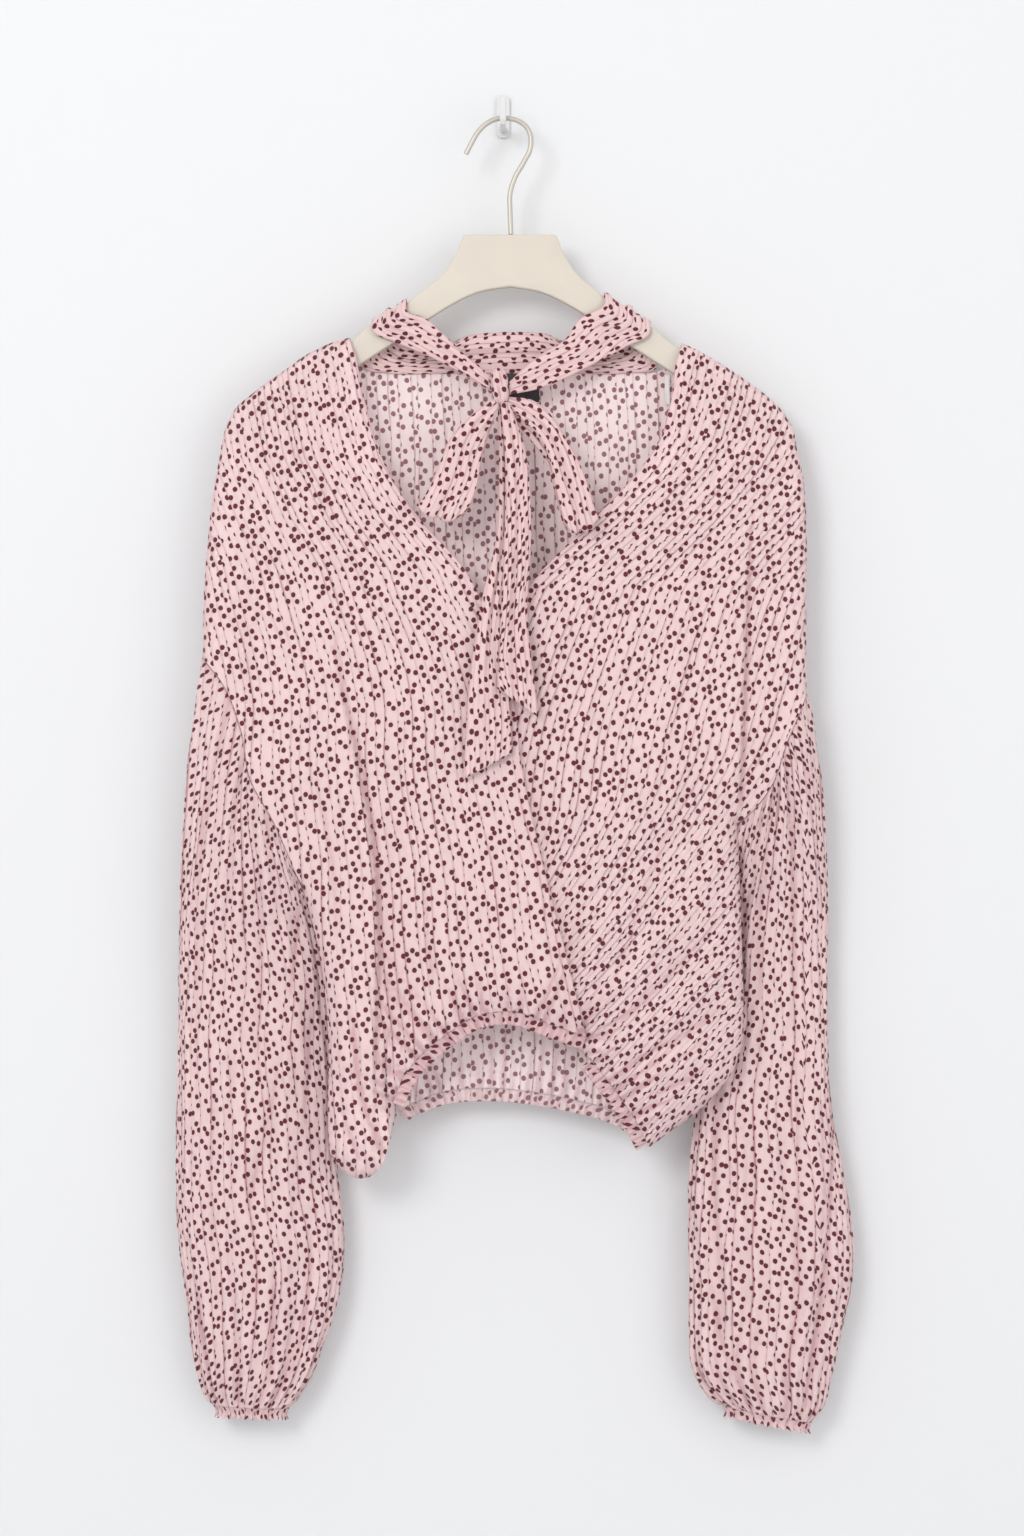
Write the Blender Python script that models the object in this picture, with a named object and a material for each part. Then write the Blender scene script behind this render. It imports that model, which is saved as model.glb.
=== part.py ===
"""Tie neck wrap blouse hanging on its hanger from a small wall hook.

Metres, +Z up, +X to the viewer's right, and the viewer stands at -Y. The wall is the plane Y = 0,
and the origin is the middle of the wall hook's back face. Right and left in names are the wearer's,
so the right front and the right sleeve are at -X.

The body is two height surfaces over the X-Z plane, one for the front cloth and one for the back
cloth. Both round off to the same line at the garment's outline. Each panel is a grid laid over one
of these surfaces.
"""

import math

import bmesh
import bpy
import numpy as np

GAP = 0.0003  # between pieces that touch
WALL = 0.0012  # cloth wall
TIE_WALL = 0.0015  # the tie is cloth sewn double
OVERLAP_SHIFT = 0.0036  # how far the left front lies behind the right front where they cross

# Rounding of the cloth at its outline, and how fast it leaves it
ROUND_IN, ROUND_FRONT, ROUND_BACK = 0.010, 0.008, 0.007
SWELL_FRONT, SWELL_BACK = 0.045, 0.070

# Hanger
HANGER_X, HANGER_Y, HANGER_THICK, HANGER_EDGE = 0.0048, -0.030, 0.008, 0.003
WIRE_RADIUS = 0.0018

# Depth of the garment: height, outline, front cloth and back cloth
DEPTHS = np.array([
    # z, side, front, back
    (-0.160, -0.0300, -0.0400, -0.0195),
    (-0.250, -0.0302, -0.0430, -0.0180),
    (-0.390, -0.0320, -0.0500, -0.0170),
    (-0.500, -0.0380, -0.0560, -0.0170),
    (-0.560, -0.0430, -0.0600, -0.0170),
    (-0.660, -0.0450, -0.0620, -0.0180),
    (-0.750, -0.0440, -0.0600, -0.0200),
])

# Outlines, each a row of x and z. The arm outline runs from the neck over the shoulder to the sleeve seam.
ARM_OUTLINE_RIGHT = [
    (-0.1070, -0.1628), (-0.1180, -0.1660), (-0.1340, -0.1730), (-0.1520, -0.1852), (-0.1710, -0.1988),
    (-0.1870, -0.2125), (-0.1938, -0.2250), (-0.1975, -0.2420), (-0.2025, -0.2700), (-0.2070, -0.3110),
    (-0.2093, -0.3460), (-0.2100, -0.3864),
]
ARM_OUTLINE_LEFT = [
    (0.1253, -0.1665), (0.1365, -0.1720), (0.1596, -0.1858), (0.1790, -0.1996), (0.1950, -0.2136),
    (0.2030, -0.2275), (0.2060, -0.2420), (0.2105, -0.2640), (0.2121, -0.2900), (0.2121, -0.3470),
    (0.2121, -0.4116),
]
ARMHOLE_RIGHT = [
    (-0.2100, -0.3864), (-0.1946, -0.4060), (-0.1820, -0.4375), (-0.1750, -0.4725), (-0.1596, -0.5005),
    (-0.1400, -0.5460),
]
ARMHOLE_LEFT = [
    (0.2121, -0.4116), (0.2058, -0.4270), (0.1974, -0.4459), (0.1855, -0.4780), (0.1757, -0.4914),
    (0.1638, -0.5030),
]
SIDE_RIGHT = [
    (-0.1400, -0.5460), (-0.1295, -0.5845), (-0.1232, -0.6265), (-0.1211, -0.6685), (-0.1218, -0.7035),
    (-0.1204, -0.7315),
]
SIDE_LEFT = [
    (0.1638, -0.5030), (0.1652, -0.5565), (0.1666, -0.5985), (0.1673, -0.6335), (0.1652, -0.6615),
    (0.1582, -0.6776), (0.1484, -0.6902), (0.1351, -0.7035), (0.1204, -0.7140), (0.1022, -0.7280),
]
# The right side hangs in a bag below the hem, and there front and back close on each other
BAG_RIGHT = [
    (-0.1204, -0.7315), (-0.1105, -0.7450), (-0.0985, -0.7500), (-0.0880, -0.7450), (-0.0800, -0.7280),
]

NECK_EDGE_RIGHT = [
    (-0.1070, -0.1628), (-0.1026, -0.1770), (-0.0966, -0.2065), (-0.0840, -0.2485), (-0.0580, -0.2905),
    (-0.0260, -0.3270), (-0.0042, -0.3745), (0.0084, -0.4235), (0.0126, -0.4585), (0.0224, -0.5075),
    (0.0434, -0.5915), (0.0574, -0.6496),
]
NECK_EDGE_LEFT = [
    (0.1253, -0.1665), (0.1205, -0.1830), (0.1155, -0.2135), (0.1099, -0.2345), (0.0960, -0.2555),
    (0.0679, -0.2856), (0.0371, -0.3164), (0.0180, -0.3380), (0.0060, -0.3800), (-0.0100, -0.4600),
    (-0.0280, -0.5600), (-0.0400, -0.6450),
]
HEM_FRONT_RIGHT = BAG_RIGHT + [
    (-0.0780, -0.7000), (-0.0670, -0.6750), (-0.0420, -0.6503), (-0.0150, -0.6345), (0.0100, -0.6330),
    (0.0320, -0.6410), (0.0574, -0.6496),
]
HEM_FRONT_LEFT = [
    (0.1022, -0.7280), (0.0896, -0.7040), (0.0798, -0.6900), (0.0700, -0.6770), (0.0590, -0.6640),
    (0.0320, -0.6380), (0.0100, -0.6285), (-0.0150, -0.6300), (-0.0400, -0.6450),
]
NECK_Z = -0.1865  # the back neck seam
NECK_BACK = [
    (-0.1070, -0.1628), (-0.1030, -0.1760), (-0.0960, NECK_Z), (-0.0600, NECK_Z), (0.0050, NECK_Z),
    (0.0700, NECK_Z), (0.1130, NECK_Z), (0.1210, -0.1790), (0.1253, -0.1665),
]
HEM_BACK = BAG_RIGHT + [
    (-0.0735, -0.7060), (-0.0500, -0.6935), (-0.0020, -0.6890), (0.0260, -0.6920), (0.0500, -0.6965),
    (0.0720, -0.7020), (0.0880, -0.7090), (0.1022, -0.7280),
]

# Large folds of the front: start, middle and end, height, and reach to the viewer's left and right
FRONT_FOLDS = [
    # x0, z0, x1, z1, x2, z2, height, left reach, right reach
    (-0.121, -0.382, -0.093, -0.520, -0.092, -0.722, 0.0075, 0.028, 0.007),
    (-0.080, -0.480, -0.074, -0.600, -0.066, -0.690, -0.0045, 0.012, 0.018),
    (-0.060, -0.400, -0.046, -0.530, -0.034, -0.640, 0.0035, 0.017, 0.012),
    (-0.178, -0.290, -0.178, -0.380, -0.172, -0.470, -0.0030, 0.009, 0.009),
    (0.169, -0.300, 0.1650, -0.410, 0.1600, -0.515, 0.0060, 0.030, 0.006),
    (0.165, -0.240, 0.110, -0.420, 0.060, -0.620, 0.0035, 0.020, 0.024),
    (0.130, -0.300, 0.060, -0.430, 0.035, -0.560, 0.0030, 0.012, 0.016),
    (0.060, -0.640, 0.105, -0.590, 0.155, -0.520, 0.0030, 0.010, 0.012),
    (0.068, -0.662, 0.115, -0.635, 0.162, -0.600, 0.0030, 0.009, 0.010),
    (0.080, -0.688, 0.118, -0.672, 0.158, -0.650, 0.0028, 0.008, 0.009),
    (0.000, -0.400, 0.026, -0.530, 0.054, -0.640, 0.0020, 0.012, 0.005),
    (-0.112, -0.190, -0.092, -0.270, -0.050, -0.345, 0.0028, 0.009, 0.012),
    (-0.150, -0.230, -0.125, -0.330, -0.080, -0.430, 0.0026, 0.016, 0.016),
    (0.130, -0.190, 0.112, -0.270, 0.070, -0.330, 0.0026, 0.012, 0.009),
]
BACK_FOLDS = [
    (-0.130, -0.300, -0.105, -0.450, -0.088, -0.690, 0.0040, 0.018, 0.014),
    (-0.040, -0.250, -0.045, -0.450, -0.040, -0.690, 0.0030, 0.014, 0.014),
    (0.050, -0.250, 0.055, -0.450, 0.052, -0.690, 0.0030, 0.014, 0.014),
    (0.150, -0.300, 0.120, -0.450, 0.098, -0.690, 0.0040, 0.014, 0.018),
]
FOLD_CLEAR = 0.008  # folds fade out this near the outline
BLOUSE_HEIGHT, BLOUSE_REACH = 0.0050, 0.022  # the front swells out just above its hem

PANEL_ROWS_ARM, PANEL_ROWS_SEAM = 8, 6
SIDE_STEPS = (0.0, 0.16, 0.32, 0.48, 0.63, 0.77, 0.87, 0.94, 1.0)
PANEL_COLUMNS = 20
NECK_TOP = 1  # rows of the neck edge that a front's top row follows
ROUND_STEPS = 3  # grid columns on the rounded edge
SWEEP = 18  # points of half a sleeve ring, a multiple of the seam rows
SLEEVE_HEAD_ROWS = 4
SLEEVE_WAVES, SLEEVE_WAVE_HEIGHT = 12, 0.0011

SLEEVE_RIGHT = [
    # z, outer x, inner x, middle y, half depth, how much lower the outer edge is
    (-0.575, -0.2262, -0.1310, -0.0270, 0.0110, 0.0),
    (-0.610, -0.2272, -0.1235, -0.0240, 0.0115, 0.0),
    (-0.660, -0.2276, -0.1200, -0.0215, 0.0140, 0.0),
    (-0.745, -0.2289, -0.1165, -0.0210, 0.0155, 0.0),
    (-0.790, -0.2280, -0.1125, -0.0210, 0.0160, 0.0),
    (-0.836, -0.2220, -0.1160, -0.0210, 0.0160, 0.0),
    (-0.871, -0.2170, -0.1270, -0.0210, 0.0150, 0.0),
    (-0.893, -0.2125, -0.1360, -0.0210, 0.0130, 0.0),
    (-0.905, -0.2080, -0.1440, -0.0210, 0.0110, -0.001),
    (-0.9125, -0.2035, -0.1500, -0.0210, 0.0095, -0.002),
]
SLEEVE_LEFT = [
    (-0.560, 0.2278, 0.1600, -0.0220, 0.0100, 0.0),
    (-0.600, 0.2280, 0.1530, -0.0200, 0.0110, 0.0),
    (-0.650, 0.2282, 0.1430, -0.0195, 0.0125, 0.0),
    (-0.705, 0.2305, 0.1355, -0.0210, 0.0150, 0.0),
    (-0.760, 0.2405, 0.1312, -0.0210, 0.0160, 0.0),
    (-0.825, 0.2450, 0.1314, -0.0210, 0.0160, 0.0),
    (-0.860, 0.2375, 0.1317, -0.0210, 0.0155, 0.002),
    (-0.890, 0.2305, 0.1350, -0.0210, 0.0140, 0.005),
    (-0.908, 0.2250, 0.1450, -0.0210, 0.0120, 0.009),
    (-0.9175, 0.2170, 0.1540, -0.0210, 0.0095, 0.012),
]
SLEEVE_FOLDS_RIGHT = [
    (-0.150, -0.560, -0.152, -0.700, -0.160, -0.860, 0.0030, 0.006, 0.012),
    (-0.185, -0.430, -0.195, -0.640, -0.190, -0.860, 0.0025, 0.014, 0.010),
]
SLEEVE_FOLDS_LEFT = [
    (0.2290, -0.640, 0.2240, -0.790, 0.2080, -0.905, 0.0050, 0.020, 0.003),
    (0.1550, -0.700, 0.1650, -0.780, 0.1750, -0.900, 0.0022, 0.012, 0.012),
]
CUFF_HEIGHT, CUFF_WAVES, CUFF_WAVE_HEIGHT = 0.0075, 12, 0.0008
HEM_BAND_HEIGHT, HEM_WAVE_PITCH, HEM_WAVE_HEIGHT = 0.009, 0.0080, 0.0008

# Tie: each strip is a row of stations, from one edge a to the other edge b
COLLAR_BACK = [
    # ax, az, bx, bz
    (-0.0905, -0.1800, -0.0560, -0.1535), (-0.0790, -0.1854, -0.0420, -0.1640),
    (-0.0400, -0.1858, -0.0240, -0.1600), (0.0050, -0.1858, 0.0050, -0.1577),
    (0.0420, -0.1858, 0.0290, -0.1588), (0.0830, -0.1854, 0.0460, -0.1630),
    (0.0985, -0.1805, 0.0620, -0.1530),
]
STRAP_RIGHT = [
    # ax, az, bx, bz, y
    (-0.0081, -0.2020, -0.0088, -0.1920, -0.0445),
    (-0.0301, -0.1883, -0.0231, -0.1795, -0.0425),
    (-0.0511, -0.1771, -0.0378, -0.1652, -0.0400),
    (-0.0756, -0.1666, -0.0546, -0.1500, -0.0375),
]
STRAP_LEFT = [
    (0.0860, -0.1700, 0.0540, -0.1500, -0.0375),
    (0.0665, -0.1806, 0.0434, -0.1652, -0.0395),
    (0.0434, -0.1925, 0.0259, -0.1764, -0.0420),
    (0.0230, -0.2005, 0.0133, -0.1869, -0.0435),
    (0.0047, -0.2040, 0.0040, -0.1960, -0.0445),
]
CROWN = [
    # y from the hanger's middle, z from its top edge
    (-0.0070, -0.0050), (-0.0056, 0.0012), (0.0, 0.0034), (0.0056, 0.0012), (0.0070, -0.0050),
]
CROWN_RIGHT_A, CROWN_RIGHT_B = 0.096, 0.072  # where the strap's edges cross the hanger, from its middle
CROWN_LEFT_A, CROWN_LEFT_B = 0.098, 0.066

KNOT_CENTRE = (-0.0020, -0.0452, -0.1985)
KNOT_SIZE = (0.0058, 0.0058, 0.0125)  # half sizes
KNOT_LEAN = 0.12

LOOP_RIGHT = [
    # ax, az, bx, bz, y
    (-0.0072, -0.2078, -0.0018, -0.2122, -0.0470),
    (-0.0231, -0.2205, -0.0090, -0.2265, -0.0500),
    (-0.0357, -0.2345, -0.0140, -0.2435, -0.0530),
    (-0.0462, -0.2590, -0.0180, -0.2670, -0.0550),
    (-0.0560, -0.2800, -0.0238, -0.2850, -0.0570),
    (-0.0600, -0.2884, -0.0278, -0.2952, -0.0555),
    (-0.0598, -0.2880, -0.0276, -0.2948, -0.0525),
    (-0.0520, -0.2720, -0.0225, -0.2770, -0.0508),
    (-0.0420, -0.2510, -0.0175, -0.2580, -0.0500),
    (-0.0280, -0.2290, -0.0110, -0.2360, -0.0470),
    (-0.0110, -0.2120, -0.0050, -0.2165, -0.0430),
]
LOOP_LEFT = [
    (0.0036, -0.2120, 0.0044, -0.2062, -0.0470),
    (0.0145, -0.2230, 0.0200, -0.2085, -0.0500),
    (0.0245, -0.2330, 0.0330, -0.2190, -0.0525),
    (0.0315, -0.2470, 0.0450, -0.2380, -0.0545),
    (0.0360, -0.2680, 0.0560, -0.2600, -0.0560),
    (0.0410, -0.2900, 0.0640, -0.2860, -0.0572),
    (0.0440, -0.3030, 0.0665, -0.2975, -0.0555),
    (0.0439, -0.3026, 0.0664, -0.2971, -0.0525),
    (0.0370, -0.2770, 0.0590, -0.2710, -0.0508),
    (0.0310, -0.2540, 0.0460, -0.2450, -0.0500),
    (0.0220, -0.2390, 0.0310, -0.2270, -0.0470),
    (0.0060, -0.2200, 0.0100, -0.2130, -0.0430),
]
TAIL_FRONT = [
    (-0.0015, -0.2100, 0.0045, -0.2100, -0.0500),
    (0.0015, -0.2485, 0.0150, -0.2420, -0.0525),
    (0.0015, -0.2900, 0.0190, -0.2760, -0.0545),
    (0.0000, -0.3320, 0.0190, -0.3180, -0.0575),
    (-0.0020, -0.3700, 0.0168, -0.3540, -0.0595),
    (-0.0040, -0.4090, 0.0245, -0.4290, -0.0620),
]
TAIL_BACK = [
    (-0.0035, -0.2112, 0.0030, -0.2112, -0.0440),
    (-0.0025, -0.2550, 0.0065, -0.2600, -0.0480),
    (-0.0045, -0.3040, 0.0055, -0.3150, -0.0512),
    (-0.0140, -0.3450, 0.0015, -0.3600, -0.0550),
    (-0.0220, -0.3950, 0.0035, -0.4050, -0.0578),
    (-0.0275, -0.4720, 0.0063, -0.4540, -0.0598),
]
STRIP_ACROSS = 4
STRIP_PLEATS, STRIP_PLEAT_HEIGHT = 2, 0.0006

LABEL_SIZE, LABEL_THICK, LABEL_X = (0.022, 0.020), 0.0008, 0.0145
LOOP_TAPE_WIDTH, LOOP_TAPE_THICK = 0.0035, 0.0008

ARM_TOP = [
    # from the hanger's middle, z
    (0.0322, -0.0910), (0.0399, -0.1085), (0.0473, -0.1190), (0.0590, -0.1290), (0.0665, -0.1350),
    (0.0770, -0.1428), (0.1020, -0.1577), (0.1120, -0.1668), (0.1250, -0.1728), (0.1400, -0.1810),
    (0.1560, -0.1906), (0.1740, -0.2040), (0.1860, -0.2168), (0.1912, -0.2280),
]
ARM_TIP = [(0.1912, -0.2280), (0.1912, -0.2345), (0.1868, -0.2382)]
ARM_BOTTOM = [
    (0.1868, -0.2382), (0.1740, -0.2280), (0.1560, -0.2152), (0.1400, -0.2040), (0.1071, -0.1834),
    (0.0812, -0.1666), (0.0581, -0.1512), (0.0430, -0.1415), (0.0220, -0.1315), (0.0, -0.1275),
]
HOOK = [
    (0.0056, -0.0904), (0.0050, -0.0750), (0.0050, -0.0620), (0.0084, -0.0508), (0.0144, -0.0402),
    (0.0189, -0.0311), (0.0196, -0.0235), (0.0168, -0.0158), (0.0112, -0.0113), (0.0039, -0.0093),
    (-0.0038, -0.0095), (-0.0113, -0.0129), (-0.0175, -0.0189), (-0.0220, -0.0266), (-0.0259, -0.0342),
]
HOOK_POINTS, WIRE_SIDES = 30, 8
PEG_WIDTH, PEG_THICK = 0.0045, 0.0032
PLATE_SIZE = (0.009, 0.0025, 0.030)
PLATE_Z = -0.003
PEG_TOP = -0.0115  # the hook wire lies on this

CLOTH_COLOUR, HANGER_COLOUR, WIRE_COLOUR = (0.78, 0.57, 0.58), (0.80, 0.74, 0.66), (0.74, 0.70, 0.62)
PEG_COLOUR, LABEL_COLOUR, TAPE_COLOUR = (0.86, 0.86, 0.85), (0.02, 0.02, 0.022), (0.90, 0.88, 0.88)


def curve(rows, knots, at):
    """Points of the smooth curve that passes the rows at the knots."""
    slopes = np.gradient(rows, knots, axis=0)
    cell = np.clip(np.searchsorted(knots, at, side="right") - 1, 0, len(rows) - 2)
    span = (knots[cell + 1] - knots[cell])[:, None]
    t = (at - knots[cell])[:, None] / span
    return (
        (2 * t**3 - 3 * t**2 + 1) * rows[cell]
        + (t**3 - 2 * t**2 + t) * span * slopes[cell]
        + (3 * t**2 - 2 * t**3) * rows[cell + 1]
        + (t**3 - t**2) * span * slopes[cell + 1]
    )


def spline(rows, fractions):
    """Points of the smooth curve through the rows, at fractions of its length."""
    rows = np.asarray(rows, float)
    knots = np.concatenate([[0.0], np.cumsum(np.linalg.norm(np.diff(rows, axis=0), axis=1))])
    points = curve(rows, knots, np.linspace(0, knots[-1], 40 * len(rows)))
    length = np.concatenate([[0.0], np.cumsum(np.linalg.norm(np.diff(points, axis=0), axis=1))])
    wanted = np.asarray(fractions) * length[-1]
    return np.stack([np.interp(wanted, length, column) for column in points.T], axis=1)


def stations(a_rows, b_rows, per):
    """Points of two edges' curves, at their rows and evenly between them."""
    middle = (np.asarray(a_rows) + np.asarray(b_rows)) / 2
    knots = np.concatenate([[0.0], np.cumsum(np.linalg.norm(np.diff(middle, axis=0), axis=1))])
    at = np.interp(np.arange((len(knots) - 1) * per + 1) / per, np.arange(len(knots)), knots)
    return curve(np.asarray(a_rows), knots, at), curve(np.asarray(b_rows), knots, at)


def steps(count):
    """Even fractions from 0 to 1."""
    return np.linspace(0.0, 1.0, count + 1)


def out_of(line, before):
    """In-plane unit normals of an outline, pointing away from the garment, turned at a corner with before."""
    tangent = np.gradient(line, axis=0)
    out = np.stack([tangent[:, 1], -tangent[:, 0]], axis=1)
    out /= np.linalg.norm(out, axis=1, keepdims=True)
    centre = np.array([HANGER_X, -0.45])
    out *= np.sign(((line - centre) * out).sum(axis=1))[:, None]
    if before is not None:
        step = np.array(before[-1]) - np.array(before[-2])
        across = np.array([step[1], -step[0]]) / np.linalg.norm(step)
        out[0] += across * np.sign(across @ out[0])
        out[0] /= np.linalg.norm(out[0])
    return out


DENSE = 500
OUTLINES = [spline(rows, steps(DENSE)) for rows in (
    ARM_OUTLINE_RIGHT, ARM_OUTLINE_LEFT, SIDE_RIGHT + BAG_RIGHT[1:4], SIDE_LEFT,
)]
OUTWARD = [
    out_of(line, before)
    for line, before in zip(OUTLINES, (None, None, ARMHOLE_RIGHT, ARMHOLE_LEFT))
]


def outline_distance(x, z):
    """Distance of each point from the garment's outline."""
    nearest = np.full(np.shape(x), 1.0)
    for line in OUTLINES:
        for start in range(0, len(line) - 1, 100):
            part = line[start:start + 101]
            far = np.hypot(x[..., None] - part[:, 0], z[..., None] - part[:, 1])
            nearest = np.minimum(nearest, far.min(axis=-1))
    return nearest


def line_distance(x, z, line):
    """Distance of each point from one line."""
    return np.hypot(x[..., None] - line[:, 0], z[..., None] - line[:, 1]).min(axis=-1)


def smooth_step(t):
    t = np.clip(t, 0.0, 1.0)
    return t * t * (3 - 2 * t)


def relief(x, z, folds):
    """How far the folds stand out of the cloth at each point."""
    total = np.zeros(np.shape(x))
    for x0, z0, x1, z1, x2, z2, height, left, right in folds:
        line = spline([(x0, z0), (x1, z1), (x2, z2)], steps(40))
        away = np.hypot(x[..., None] - line[:, 0], z[..., None] - line[:, 1])
        at, near = away.argmin(axis=-1), away.min(axis=-1)
        side = (x - line[at, 0]) / (near + 1e-6)
        reach = left + (right - left) * smooth_step((side + 1) / 2)
        fade = np.sin(np.pi * np.clip(at / 40, 0.04, 0.96)) ** 0.6
        total += height * np.exp(-((near / reach) ** 2)) * fade
    return total


def depth_column(z, column):
    return np.interp(-z, -DEPTHS[:, 0], DEPTHS[:, column])


HEM_LINE = spline(HEM_FRONT_RIGHT[5:] + HEM_FRONT_LEFT[4::-1], steps(200))


def rounded(distance):
    """Quarter ellipse at the outline, from 0 to 1."""
    return np.sqrt(1 - (1 - np.clip(distance / ROUND_IN, 0, 1)) ** 2)


def front_y(x, z):
    """The front cloth's outer side."""
    far = outline_distance(x, z)
    side, middle = depth_column(z, 1), depth_column(z, 2)
    swell = (side - middle - ROUND_FRONT) * (1 - np.exp(-far / SWELL_FRONT))
    hem = line_distance(x, z, HEM_LINE) / BLOUSE_REACH
    above = (z > np.interp(x, HEM_LINE[:, 0], HEM_LINE[:, 1])) | (x < HEM_LINE[0, 0])
    blouse = BLOUSE_HEIGHT * hem * np.exp(1 - hem) * above
    folds = (relief(x, z, FRONT_FOLDS) + blouse) * (1 - np.exp(-((far / FOLD_CLEAR) ** 2)))
    return side - GAP / 2 - ROUND_FRONT * rounded(far) - swell - folds


WRAP_LINE = spline(NECK_EDGE_RIGHT, steps(120))


def front_left_y(x, z):
    """The left front's outer side, which lies behind the right front where that crosses it."""
    edge = np.interp(-z, -WRAP_LINE[:, 1], WRAP_LINE[:, 0])
    return front_y(x, z) + OVERLAP_SHIFT * (1 - smooth_step((x - edge - 0.004) / 0.030))


def back_y(x, z):
    """The back cloth's outer side."""
    far = outline_distance(x, z)
    side, middle = depth_column(z, 1), depth_column(z, 3)
    swell = (middle - side - ROUND_BACK) * (1 - np.exp(-far / SWELL_BACK))
    folds = relief(x, z, BACK_FOLDS) * (1 - np.exp(-((far / FOLD_CLEAR) ** 2)))
    return side + GAP / 2 + ROUND_BACK * rounded(far) + swell + folds


def surface_normals(x, z, height, facing):
    """Unit normals of the height surface. At the outline they point straight out of it."""
    small = 2e-5
    slope_x = (height(x + small, z) - height(x - small, z)) / (2 * small)
    slope_z = (height(x, z + small) - height(x, z - small)) / (2 * small)
    normals = np.stack([-slope_x * facing, np.full(np.shape(x), facing), -slope_z * facing], axis=-1)
    normals /= np.linalg.norm(normals, axis=-1, keepdims=True)
    for line, outward in zip(OUTLINES, OUTWARD):
        away = np.hypot(x[..., None] - line[:, 0], z[..., None] - line[:, 1])
        at, on_it = away.argmin(axis=-1), away.min(axis=-1) < 8e-4
        out = np.stack([outward[at, 0], np.zeros(at.shape), outward[at, 1]], axis=-1)
        normals = np.where(on_it[..., None], out, normals)
    return normals


def panel_grid(outer, inner, top, bottom, rows, both_round):
    """X and Z of a panel, in rows from the outer edge to the inner edge, bent to its top and bottom."""
    count = len(rows)
    around = ROUND_IN * (1 - np.cos(np.linspace(0, math.pi / 2, ROUND_STEPS + 1)))
    grid = np.zeros((count, PANEL_COLUMNS + 1, 2))
    fractions = []
    for start, end in zip(outer, inner):
        edge = around / max(np.linalg.norm(end - start), ROUND_IN * (3 if both_round else 1.2))
        if both_round:
            flat = np.linspace(edge[-1], 1 - edge[-1], PANEL_COLUMNS + 1 - 2 * ROUND_STEPS)
            fractions.append(np.concatenate([edge[:-1], flat, (1 - edge[:-1])[::-1]]))
        else:
            flat = np.linspace(edge[-1], 1, PANEL_COLUMNS + 1 - ROUND_STEPS)
            fractions.append(np.concatenate([edge[:-1], flat]))
    fractions = np.array(fractions)
    bend_top = (1 - smooth_step(rows / 0.28))
    bend_bottom = smooth_step((rows - 0.60) / 0.40) ** 1.3
    for i in range(count):
        f = fractions[i][:, None]
        grid[i] = outer[i] * (1 - f) + inner[i] * f
        straight = outer[0] * (1 - f) + inner[0] * f
        grid[i] += bend_top[i] * (spline(top, fractions[i]) - straight)
        straight = outer[-1] * (1 - f) + inner[-1] * f
        grid[i] += bend_bottom[i] * (spline(bottom, fractions[i]) - straight)
    return grid[..., 0], grid[..., 1]


def edge_rows(arm, armhole, side):
    """Points down a panel's outer edge, and the fraction of its length at each."""
    parts = [
        spline(arm, steps(PANEL_ROWS_ARM)),
        spline(armhole, steps(PANEL_ROWS_SEAM))[1:],
        spline(side, SIDE_STEPS)[1:],
    ]
    points = np.concatenate(parts)
    length = np.concatenate([[0.0], np.cumsum(np.linalg.norm(np.diff(points, axis=0), axis=1))])
    return points, length / length[-1]


def wall(x, z, height, facing):
    """Outer and inner points of a cloth wall on a height surface, with its free edges cut straight back."""
    outer = np.stack([x, height(x, z), z], axis=-1)
    normals = surface_normals(x, z, height, facing)
    free = np.zeros(x.shape, bool)
    free[0] = free[-1] = True
    free[:, -1] |= facing < 0
    normals[free & (normals[..., 1] != 0.0)] = (0.0, facing, 0.0)
    return outer, outer - WALL * normals


def add_object(name, points, faces, material, smooth_degrees=45):
    mesh = bpy.data.meshes.new(name)
    mesh.from_pydata([tuple(map(float, p)) for p in points], [], faces)
    work = bmesh.new()
    work.from_mesh(mesh)
    bmesh.ops.recalc_face_normals(work, faces=work.faces)
    if work.calc_volume(signed=True) < 0:
        bmesh.ops.reverse_faces(work, faces=work.faces)
    work.to_mesh(mesh)
    work.free()
    mesh.shade_smooth()
    mesh.set_sharp_from_angle(angle=math.radians(smooth_degrees))
    mesh.materials.append(material)
    piece = bpy.data.objects.new(name, mesh)
    bpy.context.scene.collection.objects.link(piece)
    return piece


def slab(name, first, second, material):
    """A closed wall between two grids of points."""
    rows, columns = first.shape[:2]
    points = np.concatenate([first.reshape(-1, 3), second.reshape(-1, 3)])

    def at(layer, i, j):
        return layer * rows * columns + i * columns + j

    faces = []
    for i in range(rows - 1):
        for j in range(columns - 1):
            faces.append((at(0, i, j), at(0, i, j + 1), at(0, i + 1, j + 1), at(0, i + 1, j)))
            faces.append((at(1, i, j), at(1, i + 1, j), at(1, i + 1, j + 1), at(1, i, j + 1)))
    rim = [(0, j) for j in range(columns)]
    rim += [(i, columns - 1) for i in range(1, rows)]
    rim += [(rows - 1, j) for j in range(columns - 2, -1, -1)]
    rim += [(i, 0) for i in range(rows - 2, 0, -1)]
    for (i, j), (k, m) in zip(rim, rim[1:] + rim[:1]):
        faces.append((at(0, i, j), at(1, i, j), at(1, k, m), at(0, k, m)))
    return add_object(name, points, faces, material)


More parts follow.
